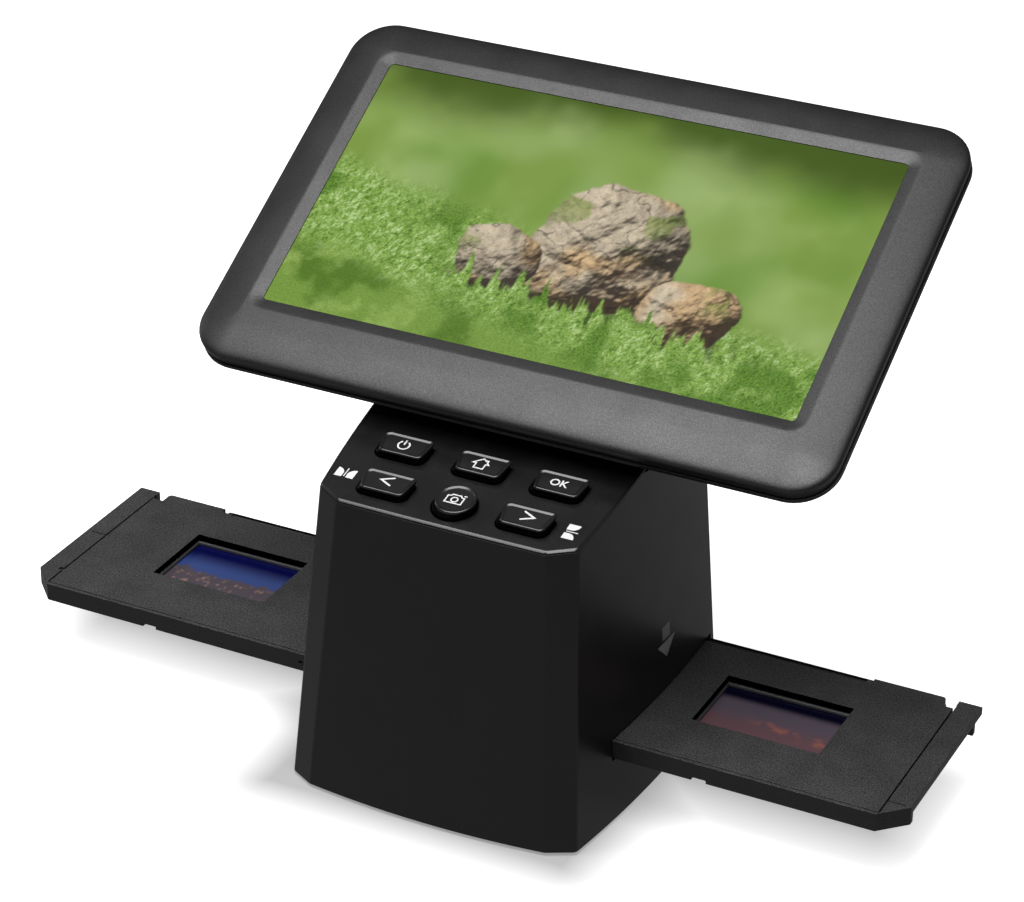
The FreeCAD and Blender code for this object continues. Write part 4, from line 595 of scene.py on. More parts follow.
def spots_tree():
    """A tree that puts a pattern on every spot and turns the result into plain mesh."""
    tree = bpy.data.node_groups.new("spots", "GeometryNodeTree")
    for word, kind in (("Geometry", "Geometry"), ("Pattern", "Object"), ("Turn", "Vector"),
                       ("Size", "Float"), ("Finish", "Material")):
        tree.interface.new_socket(word, in_out="INPUT", socket_type="NodeSocket" + kind)
    tree.interface.new_socket("Geometry", in_out="OUTPUT", socket_type="NodeSocketGeometry")
    start, end, pattern, spread_out, real, finish, turn = (tree.nodes.new(kind) for kind in (
        "NodeGroupInput", "NodeGroupOutput", "GeometryNodeObjectInfo",
        "GeometryNodeInstanceOnPoints", "GeometryNodeRealizeInstances",
        "GeometryNodeSetMaterial", "FunctionNodeEulerToRotation"))
    for giver, output, taker, entry in (
            (start, "Geometry", spread_out, "Points"), (start, "Pattern", pattern, "Object"),
            (pattern, "Geometry", spread_out, "Instance"), (start, "Turn", turn, "Euler"),
            (turn, "Rotation", spread_out, "Rotation"), (start, "Size", spread_out, "Scale"),
            (spread_out, "Instances", real, "Geometry"), (real, "Geometry", finish, "Geometry"),
            (start, "Finish", finish, "Material"), (finish, "Geometry", end, "Geometry")):
        tree.links.new(giver.outputs[output], taker.inputs[entry])
    return tree


def copies(name, spots, pattern, turn, material):
    """One plain mesh with a copy of a pattern on every spot. The pattern is thrown away."""
    mesh = bpy.data.meshes.new(name)
    mesh.from_pydata([tuple(spot) for spot in spots], [], [])
    piece = placed(name, mesh)
    modifier = piece.modifiers.new("copies", "NODES")
    modifier.node_group = bpy.data.node_groups.get("spots") or spots_tree()
    values = {"Pattern": pattern, "Turn": turn, "Size": 1.0, "Finish": material}
    for item in modifier.node_group.interface.items_tree:
        if item.in_out == "INPUT" and item.name in values:
            modifier[item.identifier] = values[item.name]
    baked(piece)
    bpy.data.objects.remove(pattern)
    return piece


def screw_pattern(length):
    """A screw with its head at the bottom, facing down, and a cross slot."""
    head, tall, shank = 2.1, 1.2, 1.2
    screw = turned([(head - 0.35, 0), (head - 0.1, 0.1), (head, 0.35), (head, tall),
                    (shank, tall), (shank, length)])

    def plain(x, y, z):
        return Vector((x, y, z)) * MM
    for across, along in ((head * 0.62, 0.22), (0.22, head * 0.62)):
        cut_from(screw, block(plain, -across, across, -along, along, -1.0, tall * 0.6))
    return shaded(screw, 35.0)


# The body's outline at its lower edge and at the deck, in millimetres

OUTLINE_LOW = {"front": 34.9, "reach": 45.3, "bulge": 2.4, "corner": 42.1, "corner_reach": 41.4,
               "side": 46.3, "rear": 45.2, "rear_reach": 42.4, "back": 38.0, "back_reach": 47.7}
OUTLINE_DECK = {"front": 29.8, "reach": 37.1, "bulge": 0.2, "corner": 37.1, "corner_reach": 33.3,
                "side": 40.6, "rear": 39.9, "rear_reach": 39.6, "back": 33.0, "back_reach": 44.9}
WIDEST_BACK = 15.6
WALL = 2.0
LIP = 0.7
TOP_COVER_UP = DECK_UP + (DECK_END - DECK_FRONT) * math.tan(DECK_SLOPE)


def outline_sizes(height):
    """The outline's measures at one height."""
    share = (height - FOOT_RISE) / (DECK_UP - FOOT_RISE)
    return {word: low + (OUTLINE_DECK[word] - low) * share for word, low in OUTLINE_LOW.items()}


def through(first, middle, last, steps):
    """Points of the arc through three points, its ends left out."""
    (ax, ay), (bx, by), (cx, cy) = first, middle, last
    a, b, c = ax * ax + ay * ay, bx * bx + by * by, cx * cx + cy * cy
    twice = 2 * (ax * (by - cy) + bx * (cy - ay) + cx * (ay - by))
    ux = (a * (by - cy) + b * (cy - ay) + c * (ay - by)) / twice
    uy = (a * (cx - bx) + b * (ax - cx) + c * (bx - ax)) / twice
    start = math.atan2(ay - uy, ax - ux)
    sweep = (math.atan2(cy - uy, cx - ux) - start + math.pi) % FULL_TURN - math.pi
    radius = math.hypot(ax - ux, ay - uy)
    return [(ux + radius * math.cos(start + sweep * step / steps),
             uy + radius * math.sin(start + sweep * step / steps)) for step in range(1, steps)]


def body_corners(height):
    """The whole outline as corners for soft_loop, counterclockwise from the left front."""
    m = outline_sizes(height)
    round_by = sizes().shell_corner / MM
    front, corner = (m["front"], -m["reach"]), (m["corner"], -m["corner_reach"])
    rear, back = (m["rear"], m["rear_reach"]), (m["back"], m["back_reach"])
    nose = through((-m["front"], -m["reach"]), (0, -m["reach"] - m["bulge"]), front, 14)
    flank = through(corner, (m["side"], WIDEST_BACK), rear, 18)
    right = [(*front, round_by), (*corner, round_by * 0.8), *((*spot, 0) for spot in flank),
             (*rear, round_by), (*back, round_by)]
    left = [(-x, y, radius) for x, y, radius in reversed(right)]
    return [left[-1], *((*spot, 0) for spot in nose), *right, *left[:-1]]


class Outline:
    """The body's outline as points that run straight from the lower edge to above the roof."""

    def __init__(self, inset=0.0):
        self.low = soft_loop(body_corners(FOOT_RISE), inset)
        self.high = soft_loop(body_corners(SKY), inset)

    def point(self, place, height):
        """One of the points at a height."""
        share = (height - FOOT_RISE) / (SKY - FOOT_RISE)
        spot = self.low[place].lerp(self.high[place], share)
        return spot.x, spot.y, height

    def under(self, place, roof):
        """One of the points where it meets a roof given as height by y."""
        height = DECK_UP
        for _ in range(12):
            height = roof(self.point(place, height)[1])
        return self.point(place, height)


def deck_plane(drop):
    """Heights of the deck's surface moved down by a drop measured square to it."""
    def roof(y):
        return DECK_UP + (y - DECK_FRONT) * math.tan(DECK_SLOPE) - drop / math.cos(DECK_SLOPE)
    return roof


def wall_roof(y):
    """The upper edge of the body's walls: under the deck's lip, then under the top cover."""
    return deck_plane(LIP)(y) - 0.06 if y < DECK_END else TOP_COVER_UP - WALL - 0.2


def wall_mesh(name, chosen):
    """A wall along part of the outline, with its inner face, from the lower edge to the roof."""
    spots = [(outline, place) for outline, order in (
        (Outline(), chosen), (Outline(WALL), chosen[::-1])) for place in order]
    tops = [outline.under(place, wall_roof)[2] for outline, place in spots]
    build = bmesh.new()
    rows = stacked(build, [
        [at_body(*outline.point(place, FOOT_RISE + share * (top - FOOT_RISE)))
         for (outline, place), top in zip(spots, tops)]
        for share in (0.0, 0.05, 0.2, 0.4, 0.6, 0.8, 0.95, 1.0)])
    for row in (rows[0], rows[-1]):
        for outer, inner in enumerate(range(len(row) - 2, len(row) - 1 - len(chosen), -1)):
            build.faces.new((row[outer], row[outer + 1], row[inner], row[inner + 1]))
    return outward(name, build)


def outline_parts():
    """Places of the outline's points in the main shell and in the rear cover."""
    low = Outline().low
    seam = OUTLINE_LOW["rear_reach"] - 0.8
    ahead = [place for place in range(len(low)) if low[place].y < seam]
    start = next(place for place in ahead if low[place - 1].y >= seam)
    order = [(start + step) % len(low) for step in range(len(low))]
    return order[:len(ahead)], order[len(ahead):]


# The block that cuts both tray slots: from and to in x, y and z. Then the middle, width and
# height of the sockets' openings in the rear cover, and how high they lie
TRAY_SLOTS = (-80, 80, -22.7, 38.8, 18.5, 25.0)
MOUTHS = ((-24.0, 9.2, 3.4), (-7.0, 11.4, 3.4), (17.0, 25.6, 3.2))
MOUTH_UP, MOUTH_GAP = 44.7, 0.3


class SCANNER_OT_housing(bpy.types.Operator):
    """Make the shell, the rear cover, the top cover and the base plate"""

    bl_idname = "scanner.housing"
    bl_label = "Housing"

    def execute(self, context):
        edge, finish = sizes().panel_edge, finish_of("housing_plastic")
        front, rear = outline_parts()
        shell = linked("shell_skin", wall_mesh("shell_skin", front), finish)
        cut_from(shell, block(at_body, *TRAY_SLOTS))
        cover = linked("rear_skin", wall_mesh("rear_skin", rear), finish)
        for x, wide, tall in MOUTHS:
            across, high = wide / 2 + MOUTH_GAP, tall / 2 + MOUTH_GAP
            loop = soft_loop(rectangle(x - across, x + across, MOUTH_UP - high,
                                       MOUTH_UP + high, 0.8))
            cut_from(cover, tool([[at_body(spot.x, y, spot.y) for spot in loop]
                                  for y in (30.0, 60.0)]))
        for piece, node in (
                (soften(shell, edge), "main_shell"), (soften(cover, edge), "rear_cover"),
                (softened("top_skin", "top_cover", finish, edge * 2, 3), "top_cover"),
                (softened("base_skin", "base_plate", finish, edge), "base_plate")):
            given(settled(piece), "housing", "housing_plastic", node)
        return {"FINISHED"}


# Middles of the keys on the deck, and the keys' sizes, in millimetres
KEYS = {
    "power": (-22.4, 23.2), "home": (0.0, 23.2), "ok": (22.4, 23.2),
    "left": (-20.0, 8.4), "camera": (0.0, 8.4), "right": (20.0, 8.4),
}
KEY_WIDE, KEY_LONG, KEY_CORNER, KEY_OUT, ROUND_KEY = 14.4, 7.7, 2.6, 2.3, 5.8
KEY_GAP, HOLE_RIM, DISH = 0.3, 0.35, 0.26
# How near to the deck's far edge its outline still has points, and how far apart two
# neighbours have to be to lie on both sides of that edge
CLEAR_OF_END, FAR_APART = 0.4, 12


def key_loop(word, inset=0.0, extra=0.0, lean=0.0):
    """A key's outline on the deck, made larger by a margin, or drawn in near and at its sides."""
    x, up = KEYS[word]
    if word == "camera":
        size = ROUND_KEY + extra - inset - lean * 0.3
        return [Vector(spot) for spot in circle(x + lean * 0.6, up + lean * 0.2, size, 56)]
    wide, long = KEY_WIDE / 2 + extra, KEY_LONG / 2 + extra
    near, low, round_by = wide - lean * 1.15, up - long + lean * 0.1, KEY_CORNER + extra
    far = up + long + lean * 0.15
    corners = [(x - near + lean * 0.75, low, round_by - lean),
               (x + near + lean * 0.75, low, round_by - lean),
               (x + wide + lean * 0.65, far, round_by - 0.9 - lean * 0.7),
               (x - wide - lean * 0.15, far, round_by - 0.6)]
    return soft_loop(corners, inset, 9, 0.3)


def quarter(size, steps):
    """(inset, drop) pairs of a quarter-round edge, from the wall to the top."""
    return [(size * (1 - math.cos(turn)), size * (1 - math.sin(turn)))
            for turn in np.linspace(0, math.pi / 2, steps + 1)]


class SCANNER_OT_deck(bpy.types.Operator):
    """Make the sloping key deck with its rounded rim and key holes"""

    bl_idname = "scanner.deck"
    bl_label = "Key deck"

    def execute(self, context):
        outline = Outline()
        edge = sizes().deck_edge / MM
        cos = math.cos(DECK_SLOPE)
        met = [outline.under(place, deck_plane(0.0)) for place in range(len(outline.low))]
        ground = [Vector((x, (y - DECK_FRONT) / cos)) for x, y, _ in met]
        end = (DECK_END - DECK_FRONT) / cos
        kept = [spot for spot in ground if spot.y < end - CLEAR_OF_END]
        first = next(place for place, spot in enumerate(kept)
                     if (kept[place - 1] - spot).length > FAR_APART)
        right = [spot for spot in ground if spot.x > 20]
        across = np.interp(end, [spot.y for spot in right], [spot.x for spot in right])
        flat = [(-across, end, 0), *((*spot, 0) for spot in kept[first:] + kept[:first]),
                (across, end, 0)]
        loops = [[at_deck(spot.x, min(spot.y, end), -drop) for spot in soft_loop(flat, inset)]
                 for inset, drop in (
                     (WALL + 0.2, WALL), (WALL + 0.2, LIP), (0.0, LIP), (0.0, edge * 0.7),
                     (edge * 0.04, edge * 0.58), (edge * 0.1, edge * 0.5),
                     (edge * 0.84, edge * 0.09), (edge, edge * 0.03), (edge * 1.25, 0.0))]
        stacks = [loops]
        for word in KEYS:
            hole = [(0.0, WALL)] + quarter(HOLE_RIM, 4)
            stacks.append([raised(at_deck, key_loop(word, extra=KEY_GAP + inset), -drop)
                           for inset, drop in hole])
        caps = [[(place, len(stack) - 1) for place, stack in enumerate(stacks)],
                [(place, 0) for place in range(len(stacks))]]
        mesh = closed_mesh("deck_skin", stacks, caps)
        deck = linked("deck_skin", mesh, finish_of("deck_plastic"))
        given(settled(deck, 25.0), "housing", "deck_plastic", "control_deck")
        return {"FINISHED"}


def arrow_head(side):
    """An arrow head that points left or right."""
    x, up = 0.5 + side * 0.3, 0.6 - side * 0.1
    points = [(x - side * 2.0, up + 1.9), (x + side * 2.0, up), (x - side * 2.0, up - 1.9)]
    return [ribbon(points, 0.6)]


# The keys' symbols: how large each is printed, and its outlines in millimetres
HOUSE = [(-1.5, 0.2), (-1.5, -1.9), (1.5, -1.9), (1.5, 0.2), (2.5, 0.2), (1.8, 0.95),
         (1.8, 1.9), (1.15, 1.9), (1.15, 1.6), (0, 2.5), (-2.5, 0.2)]
CASE = [(-3.0, -1.9), (3.0, -1.9), (3.0, 1.4), (2.1, 1.4), (1.5, 2.2), (-1.5, 2.2),
        (-2.1, 1.4), (-3.0, 1.4)]
SYMBOLS = {
    "power": (0.9, [ribbon(arc(0, 0, 1.75, 125, 415, 40), 0.48),
                    ribbon([(0, 0.2), (0, 2.2)], 0.48)]),
    "home": (0.88, [ribbon(HOUSE, 0.42, True)]),
    "ok": (1.0, None),
    "left": (0.84, arrow_head(-1)),
    "camera": (0.77, [ribbon(CASE, 0.5, True), ribbon(arc(0, -0.15, 1.15, 0, 351, 39), 0.5, True),
                      ribbon([(2.5, 2.45), (3.6, 2.45)], 0.5)]),
    "right": (0.86, arrow_head(1)),
}


def lettering(name, words, height, place, level, lift):
    """Plain lettering laid on a surface, centred on its place."""
    curve = bpy.data.curves.new(name, "FONT")
    curve.body = words
    curve.align_x = "CENTER"
    curve.align_y = "CENTER"
    curve.size = height * 1.42
    curve.offset = 0.06
    curve.extrude = lift / MM / 2
    text = placed(name, curve)
    bpy.context.view_layer.update()
    mesh = plain_mesh(text)
    bpy.data.objects.remove(text)
    low = min(vertex.co.z for vertex in mesh.vertices)
    for vertex in mesh.vertices:
        vertex.co = place(vertex.co.x, vertex.co.y, level + vertex.co.z - low)
    return mesh


class SCANNER_OT_keys(bpy.types.Operator):
    """Make the six key caps with their printed symbols"""

    bl_idname = "scanner.keys"
    bl_label = "Keys"

    def execute(self, context):
        edge, lift = sizes().key_edge / MM, sizes().print_height
        slope = np.array((0.0, -math.sin(DECK_SLOPE), math.cos(DECK_SLOPE)))
        base = np.array(at_deck(0.0, 0.0, KEY_OUT - edge * 1.3))
        top_rows = quarter(edge, 8)[1:] + [(edge + 0.04, 0.0), (edge + 0.1, 0.03),
                                           (edge + 0.52, DISH - 0.03), (edge + 0.62, DISH)]
        for word, (x, up) in KEYS.items():
            name, body = "key_cap_" + word, "key_%s_cap" % word
            rows = [raised(at_deck, key_loop(word, lean=lean), level) for lean, level in (
                (0.0, -WALL - 0.3), (0.0, 0.3), (0.12, 0.62), (0.9, KEY_OUT - edge * 1.25))]
            rows += [raised(at_deck, key_loop(word, inset, lean=1.0), KEY_OUT - drop)
                     for inset, drop in top_rows]
            cap = settled(linked(name, solid(name, rows), finish_of("key_plastic")), 22.0)
            # Faces above the key's base count as its top; the walls below get painted shade from
            # the key finish
            heights = [(np.array(face.center) - base) @ slope for face in cap.data.polygons]
            note(cap.data, "top", "FLOAT", "FACE", np.array(heights) > 0.0)
            given(cap, body, "key_plastic", "key_" + word)
            share, shapes = SYMBOLS[word]

            def on_key(across, along, out, x=x, up=up, share=share):
                return at_deck(x + 0.25 + across * share, up + 0.1 + along * share, out)
            name, level = "symbol_" + word, KEY_OUT - DISH
            mesh = (flat_print(name, on_key, level, shapes, lift) if shapes
                    else lettering(name, "OK", 2.4, on_key, level, lift))
            given(linked(name, mesh, finish_of("white_print")), body, "white_plastic")
        return {"FINISHED"}


def sail(side):
    """A quarter-round flag with its square corner low and away from the middle line."""
    wide, tall, bend = 2.15, 3.3, 1.9
    points = [(wide, 0.0), (wide, tall)]
    points += [(wide - wide * math.sin(turn), tall - bend + bend * math.cos(turn))
               for turn in np.linspace(0.15, math.pi / 2, 10)] + [(0.0, 0.0)]
    return [(side * (across + 0.6), along) for across, along in points]


class SCANNER_OT_marks(bpy.types.Operator):
    """Make the two mirror marks on the deck and the slide mark on the side"""

    bl_idname = "scanner.marks"
    bl_label = "Printed marks"

    def execute(self, context):
        lift = sizes().print_height
        flags = [[sail(-1)], [sail(1)], ribbon([(0, 0.3), (0, 3.5)], 0.3)]
        for name, place in (
                ("mark_mirror", lambda x, y, z: at_deck(x - 32.6, y + 8.6, z)),
                ("mark_flip", lambda x, y, z: at_deck(y + 30.9, x + 9.4, z))):
            mesh = flat_print(name, place, 0.0, flags, lift)
            given(linked(name, mesh, finish_of("white_print")), "housing", "white_plastic")
        outline = Outline()

        def on_side(back, height, out):
            spots = [outline.point(place, height) for place in range(len(outline.low))]
            side = sorted((y, x) for x, y, _ in spots if x > 25 and -35 < y < 40)
            x = np.interp(back, [y for y, _ in side], [x for _, x in side])
            return at_body(x + out, back, height)
        arrow = [(3.7, 38.5), (8.8, 33.8), (14.2, 38.5)]
        lows = [39.4 + number * 0.66 for number in range(6)]
        shapes = [[[(6.7, low), (11.2, low), (11.2, low + 0.42), (6.7, low + 0.42)]]
                  for low in lows] + [[arrow]]
        mesh = flat_print("mark_slide", on_side, 0.0, shapes, lift)
        given(linked("mark_slide", mesh, finish_of("side_print")), "housing",
              "housing_plastic")
        return {"FINISHED"}


DISPLAY = rectangle(-92.2, 92.2, -62.0, 57.0, 12.0)
HUMP = rectangle(-68.0, 68.0, -50.0, 44.0, 10.0)
BACK_SCREWS = [(x, up) for x in (-56.0, 56.0) for up in (-36.0, 34.0)]
SEAT_ROUND = 2.2
KNUCKLES = ((-31.5, -14.5), (14.5, 31.5))
KNUCKLE_ROUND, BORE_ROUND, POCKET_ROUND, POCKET_LONG = 4.2, 2.6, 3.95, 3.4


def display_ring(inset, out, share=0.0):
    """A ring round the display, drawn in from its outer edge, or on its way to the hump."""
    return [at_display(*edge.lerp(hump, share), out) for edge, hump in zip(
        soft_loop(DISPLAY, inset, 12, 3.0), soft_loop(HUMP, inset, 12, 3.0))]


def screen_ring(margin, radius, out):
    """A ring round the screen."""
    wide, tall = SCREEN_WIDE / 2 + margin, SCREEN_TALL / 2 + margin
    return raised(at_display, soft_loop(rectangle(-wide, wide, -tall, tall, radius), 0, 12), out)


class SCANNER_OT_display(bpy.types.Operator):
    """Make the bezel, the parting frame, the hollow back with its hinge knuckles and the screws"""

    bl_idname = "scanner.display"
    bl_label = "Display housing"

    def execute(self, context):
        self.make_bezel()
        seam = softened("seam_frame", "display_frame", finish_of("trim_black"), 0.25 * MM)
        given(settled(seam), "display", "display_trim", "display_frame")
        self.make_back()
        spots = [at_display(x, up, -14.0) for x, up in BACK_SCREWS]
        screws = copies("back_screws", spots, screw_pattern(7.6), (TILT, 0.0, 0.0),
                        finish_of("dark_steel"))
        given(screws, "display", "screw_steel", "display_screws")
        return {"FINISHED"}

    def make_bezel(self):
        """The bezel: its outer edge, the crown, the fall to the screen and the hidden rear."""
        crown = sizes().bezel_crown / MM
        rows = [display_ring(inset, out) for inset, out in (
            (0.3, -2.5), (0.08, -2.4), (0.0, -2.15), (0.0, -1.3))]
        for step in range(1, 15):
            share = (step / 14) ** 2.4
            rows.append(display_ring(crown * share, -1.3 + 2.7 * share ** 0.38))
        rows += [screen_ring(margin, 2.2 + margin * 0.7, out) for margin, out in (
            (3.9, 1.41), (3.6, 1.39), (3.3, 1.35), (3.0, 1.295), (2.7, 1.235))]
        rows += [screen_ring(margin, radius, out) for margin, radius, out in (
            (0.35, 1.5, 0.74), (0.05, 1.3, 0.64), (0.0, 1.25, 0.02), (3.1, 1.3, 0.02),
            (3.1, 1.3, -2.5))]
        build = bmesh.new()
        stacked(build, rows + rows[:1])
        bmesh.ops.remove_doubles(build, verts=build.verts, dist=0.001 * MM)
        bezel = linked("bezel_skin", outward("bezel_skin", build), finish_of("bezel_plastic"))
        given(settled(bezel, 50.0), "display", "display_plastic", "display_bezel")

    def make_back(self):
        """The display's back: a band, a soft slope to the hump, knuckles and ear pockets."""
        rows = [display_ring(inset, out, share) for share, out, inset in (
            (0.0, -4.5, 0.35), (0.0, -4.62, 0.08), (0.0, -4.9, 0.0), (0.0, -5.6, 0.0),
            (0.012, -6.0, 0.0), (0.05, -6.4, 0.0), (0.12, -7.0, 0.0), (0.5, -10.0, 0.0),
            (0.86, -12.9, 0.0), (0.93, -13.4, 0.0), (0.97, -13.75, 0.0), (1.0, -14.0, 0.6))]
        inside = [display_ring(2.0, out, share) for share, out in (
            (0.0, -4.5), (0.0, -4.9), (0.9, -12.0))]
        mesh = closed_mesh("back_skin", [rows, inside],
                           [[(0, 0), (1, 0)], [(0, len(rows) - 1)], [(1, 2)]])
        back = linked("back_skin", mesh, finish_of("display_plastic"))
        axle = (-SCREEN_UP, -SCREEN_OUT)
        for left, right in KNUCKLES:
            for start, end in ((left - POCKET_LONG, left), (right, right + POCKET_LONG)):
                cut_from(back, bar(at_display, start, end, *axle, POCKET_ROUND))
            cut_from(back, bar(at_display, left, right, *axle, KNUCKLE_ROUND), "UNION")
            cut_from(back, bar(at_display, left - 1, right + 1, *axle, BORE_ROUND))
        for x, up in BACK_SCREWS:
            cut_from(back, tool([raised(at_display, circle(x, up, SEAT_ROUND, 32), out)
                                 for out in (-15.0, -12.75)]))
        given(settled(back, 40.0), "display", "display_plastic", "display_back")


# Painted pictures: arrays over x and y, which run from 0 to 1


def cloud(x, y, scale, seed):
    """Smooth value noise over two arrays, between 0 and 1."""
    size = 128
    table = np.random.default_rng(seed).random((size, size))
    u, v = x * scale, y * scale
    i, j = np.floor(u).astype(int), np.floor(v).astype(int)
    a, b = u - i, v - j
    a, b = a * a * (3 - 2 * a), b * b * (3 - 2 * b)

    def row(q):
        return table[i % size, q % size] * (1 - a) + table[(i + 1) % size, q % size] * a
    return row(j) * (1 - b) + row(j + 1) * b


def layered(x, y, scale, seed, layers=4):
    """Several layers of cloud, finer and fainter."""
    total, weight, sum_of = 0.0, 1.0, 0.0
    for layer in range(layers):
        total = total + weight * cloud(x, y, scale * 2 ** layer, seed + layer)
        sum_of += weight
        weight *= 0.55
    return total / sum_of


def smooth(value, low, high):
    """0 below low, 1 above high, and a soft step between."""
    share = np.clip((value - low) / (high - low), 0, 1)
    return share * share * (3 - 2 * share)


def tint(colour):
    """A colour given as it shows on a screen, turned linear."""
    part = np.array(colour) / 255.0
    return np.where(part <= 0.04045, part / 12.92, ((part + 0.055) / 1.055) ** 2.4)


def coated(base, *coats):
    """Lay coats over a picture: each a colour or picture, and how much of it shows where."""
    base = tint(base) if isinstance(base, tuple) else base
    for colour, amount in coats:
        colour = tint(colour) if isinstance(colour, tuple) else colour
        base = base * (1 - amount[..., None]) + colour * amount[..., None]
    return base


def boulder(picture, sharp, wide, y, spot, size, seed):
    """Lay one rounded, lit and weathered stone on the meadow."""
    across, up = (wide - spot[0]) / size[0], (y - spot[1]) / size[1]
    ragged = (layered(wide, y, 4.0 / size[0] * 0.25, seed, 6) - 0.5) * 0.5
    reach = (np.abs(across) ** 2.5 + np.abs(up) ** 2.5) ** 0.4 + ragged
    body = 1 - smooth(reach, 0.95, 0.99)
    rough = layered(wide, y, 9.0, seed + 5, 6) - 0.5
    step = np.abs(layered(wide * 0.7 + y * 0.5, y * 1.2, 6.0, seed + 7, 3) - 0.5)
    dome = np.sqrt(np.clip(1 - np.clip(reach, 0, 1) ** 2, 0, 1)) * size[0]
    dome = dome + rough * 0.11 + step * 0.1
    slope_x = np.gradient(dome, axis=1) / (wide[0, 1] - wide[0, 0])
    slope_y = np.gradient(dome, axis=0) / (y[1, 0] - y[0, 0])
    steep = np.sqrt(1 + slope_x ** 2 + slope_y ** 2)
    light = np.clip((0.45 * slope_x - 0.62 * slope_y + 0.62) / steep * 0.95 + 0.12, 0, 1)
    stone = coated((58, 50, 42), ((196, 182, 158), light ** 1.2))
    tone = layered(wide, y, 5.0, seed + 11, 3)
    stone = coated(stone, (stone * np.array((1.1, 0.9, 0.68)), smooth(tone, 0.45, 0.65)))
    stone = stone * (0.72 + 0.56 * layered(wide, y, 46.0, seed + 9, 2)[..., None])
    crack = 1 - smooth(np.abs(layered(wide, y * 1.3, 5.0, seed + 13, 4) - 0.5), 0.0, 0.012)
    moss = smooth(layered(wide, y, 7.0, seed + 3, 4), 0.55, 0.62) * smooth(up, -0.2, 0.6)
    stone = coated(stone, ((30, 26, 22), crack * 0.7),
                   (tint((112, 128, 58)) * (0.4 + light[..., None]), moss * 0.7))
    shade = np.exp(-((wide - spot[0]) / (size[0] * 1.3)) ** 2
                   - ((y - spot[1] + size[1] * 0.95) / (size[1] * 0.35)) ** 2)
    picture = coated(picture, ((36, 56, 12), shade * 0.75), (stone, body))
    return picture, sharp * (1 - body) + body * 0.3


# Middles, half sizes and seeds of the meadow's boulders
BOULDERS = (((1.02, 0.45), (0.27, 0.27), 61), ((0.68, 0.35), (0.15, 0.13), 71),
            ((1.36, 0.29), (0.17, 0.13), 83))


def meadow(x, y):
    """A meadow with boulders."""
    wide = x * SCREEN_WIDE / SCREEN_TALL
    haze = layered(wide, y, 2.6, 11)
    canopy = smooth(y + (haze - 0.5) * 0.3 + 0.05 * x, 0.78, 1.02)
    corner = smooth(x, 0.72, 1.0) * smooth(y, 0.7, 0.95)
    picture = coated(
        (124, 152, 68), ((150, 176, 100), smooth(haze, 0.4, 0.75)),
        ((84, 130, 30), smooth(layered(wide, y, 3.0, 23, 2), 0.45, 0.8) * 0.7),
        ((168, 190, 128), smooth(layered(wide, y, 3.4, 27, 2), 0.5, 0.9) * 0.5),
        ((62, 84, 18), canopy * 0.95), ((66, 86, 28), corner * 0.5))
    lay = 0.56 - 0.4 * x + (layered(wide, y, 5.0, 31) - 0.5) * 0.1
    turf = 1 - smooth(y, lay - 0.02, lay + 0.1)
    tuft = layered(wide, y, 8.0, 47, 3)
    blade = layered(wide * 1.5 - y * 0.5, y * 1.05, 60.0, 41, 3)
    near = 1 - smooth(y, lay - 0.36, lay - 0.2)
    grass = coated(
        (126, 160, 72), ((92, 130, 44), smooth(tuft, 0.5, 0.72)),
        ((184, 210, 142), smooth(blade, 0.5, 0.78) * smooth(tuft, 0.75, 0.35) * 0.75),
        ((66, 106, 26), smooth(blade, 0.42, 0.22) * 0.75))
    soft = coated((116, 148, 62), ((84, 118, 36), smooth(layered(wide, y, 6.0, 53), 0.45, 0.65)),
                  ((146, 174, 90), smooth(layered(wide, y, 8.0, 59), 0.52, 0.72) * 0.7))
    ground = coated(grass, (soft, near))
    picture = coated(picture, (ground, turf))
    sharp = turf * (1 - near * 0.6)
    for spot, size, seed in BOULDERS:
        picture, sharp = boulder(picture, sharp, wide, y, spot, size, seed)
    spikes = layered(wide * 3.0, y * 0.5 + wide, 16.0, 91, 3) - 0.5
    fringe_line = 0.33 - 0.16 * x + spikes * 0.22
    fringe = (1 - smooth(y, fringe_line - 0.02, fringe_line + 0.01)) * turf
    return coated(picture, (ground, fringe)), np.maximum(sharp, fringe * (1 - near))


def sky_slide(x, y):
    """Blue sky over a hazy far shore."""
    shore = y + (layered(x * 1.5, y * 0.4, 9.0, 5) - 0.5) * 0.22
    spots = smooth(layered(x * 2.0, y, 14.0, 7), 0.6, 0.72) * (1 - smooth(y, 0.36, 0.46))
    return coated((50, 68, 122), ((8, 12, 66), smooth(y, 0.55, 0.85)),
                  ((74, 66, 74), 1 - smooth(shore, 0.42, 0.5)),
                  ((150, 120, 104), spots * 0.6)), np.zeros(x.shape)


def dusk_slide(x, y):
    """A purple and red evening with one bright streak."""
    line = 0.52 - 0.2 * x + (layered(x * 1.8, y, 7.0, 13) - 0.5) * 0.22
    streak = np.exp(-((y - line) / 0.05) ** 2) * smooth(x, 0.25, 0.6)
    streak = streak * smooth(layered(x * 2, y, 9.0, 17), 0.35, 0.6)
    return coated((92, 66, 72), ((80, 70, 82), smooth(y, 0.25, 0.65)),
                  ((8, 7, 30), smooth(y, 0.72, 0.86)),
                  ((140, 84, 72), np.clip(streak, 0, 1) * 0.85)), np.zeros(x.shape)


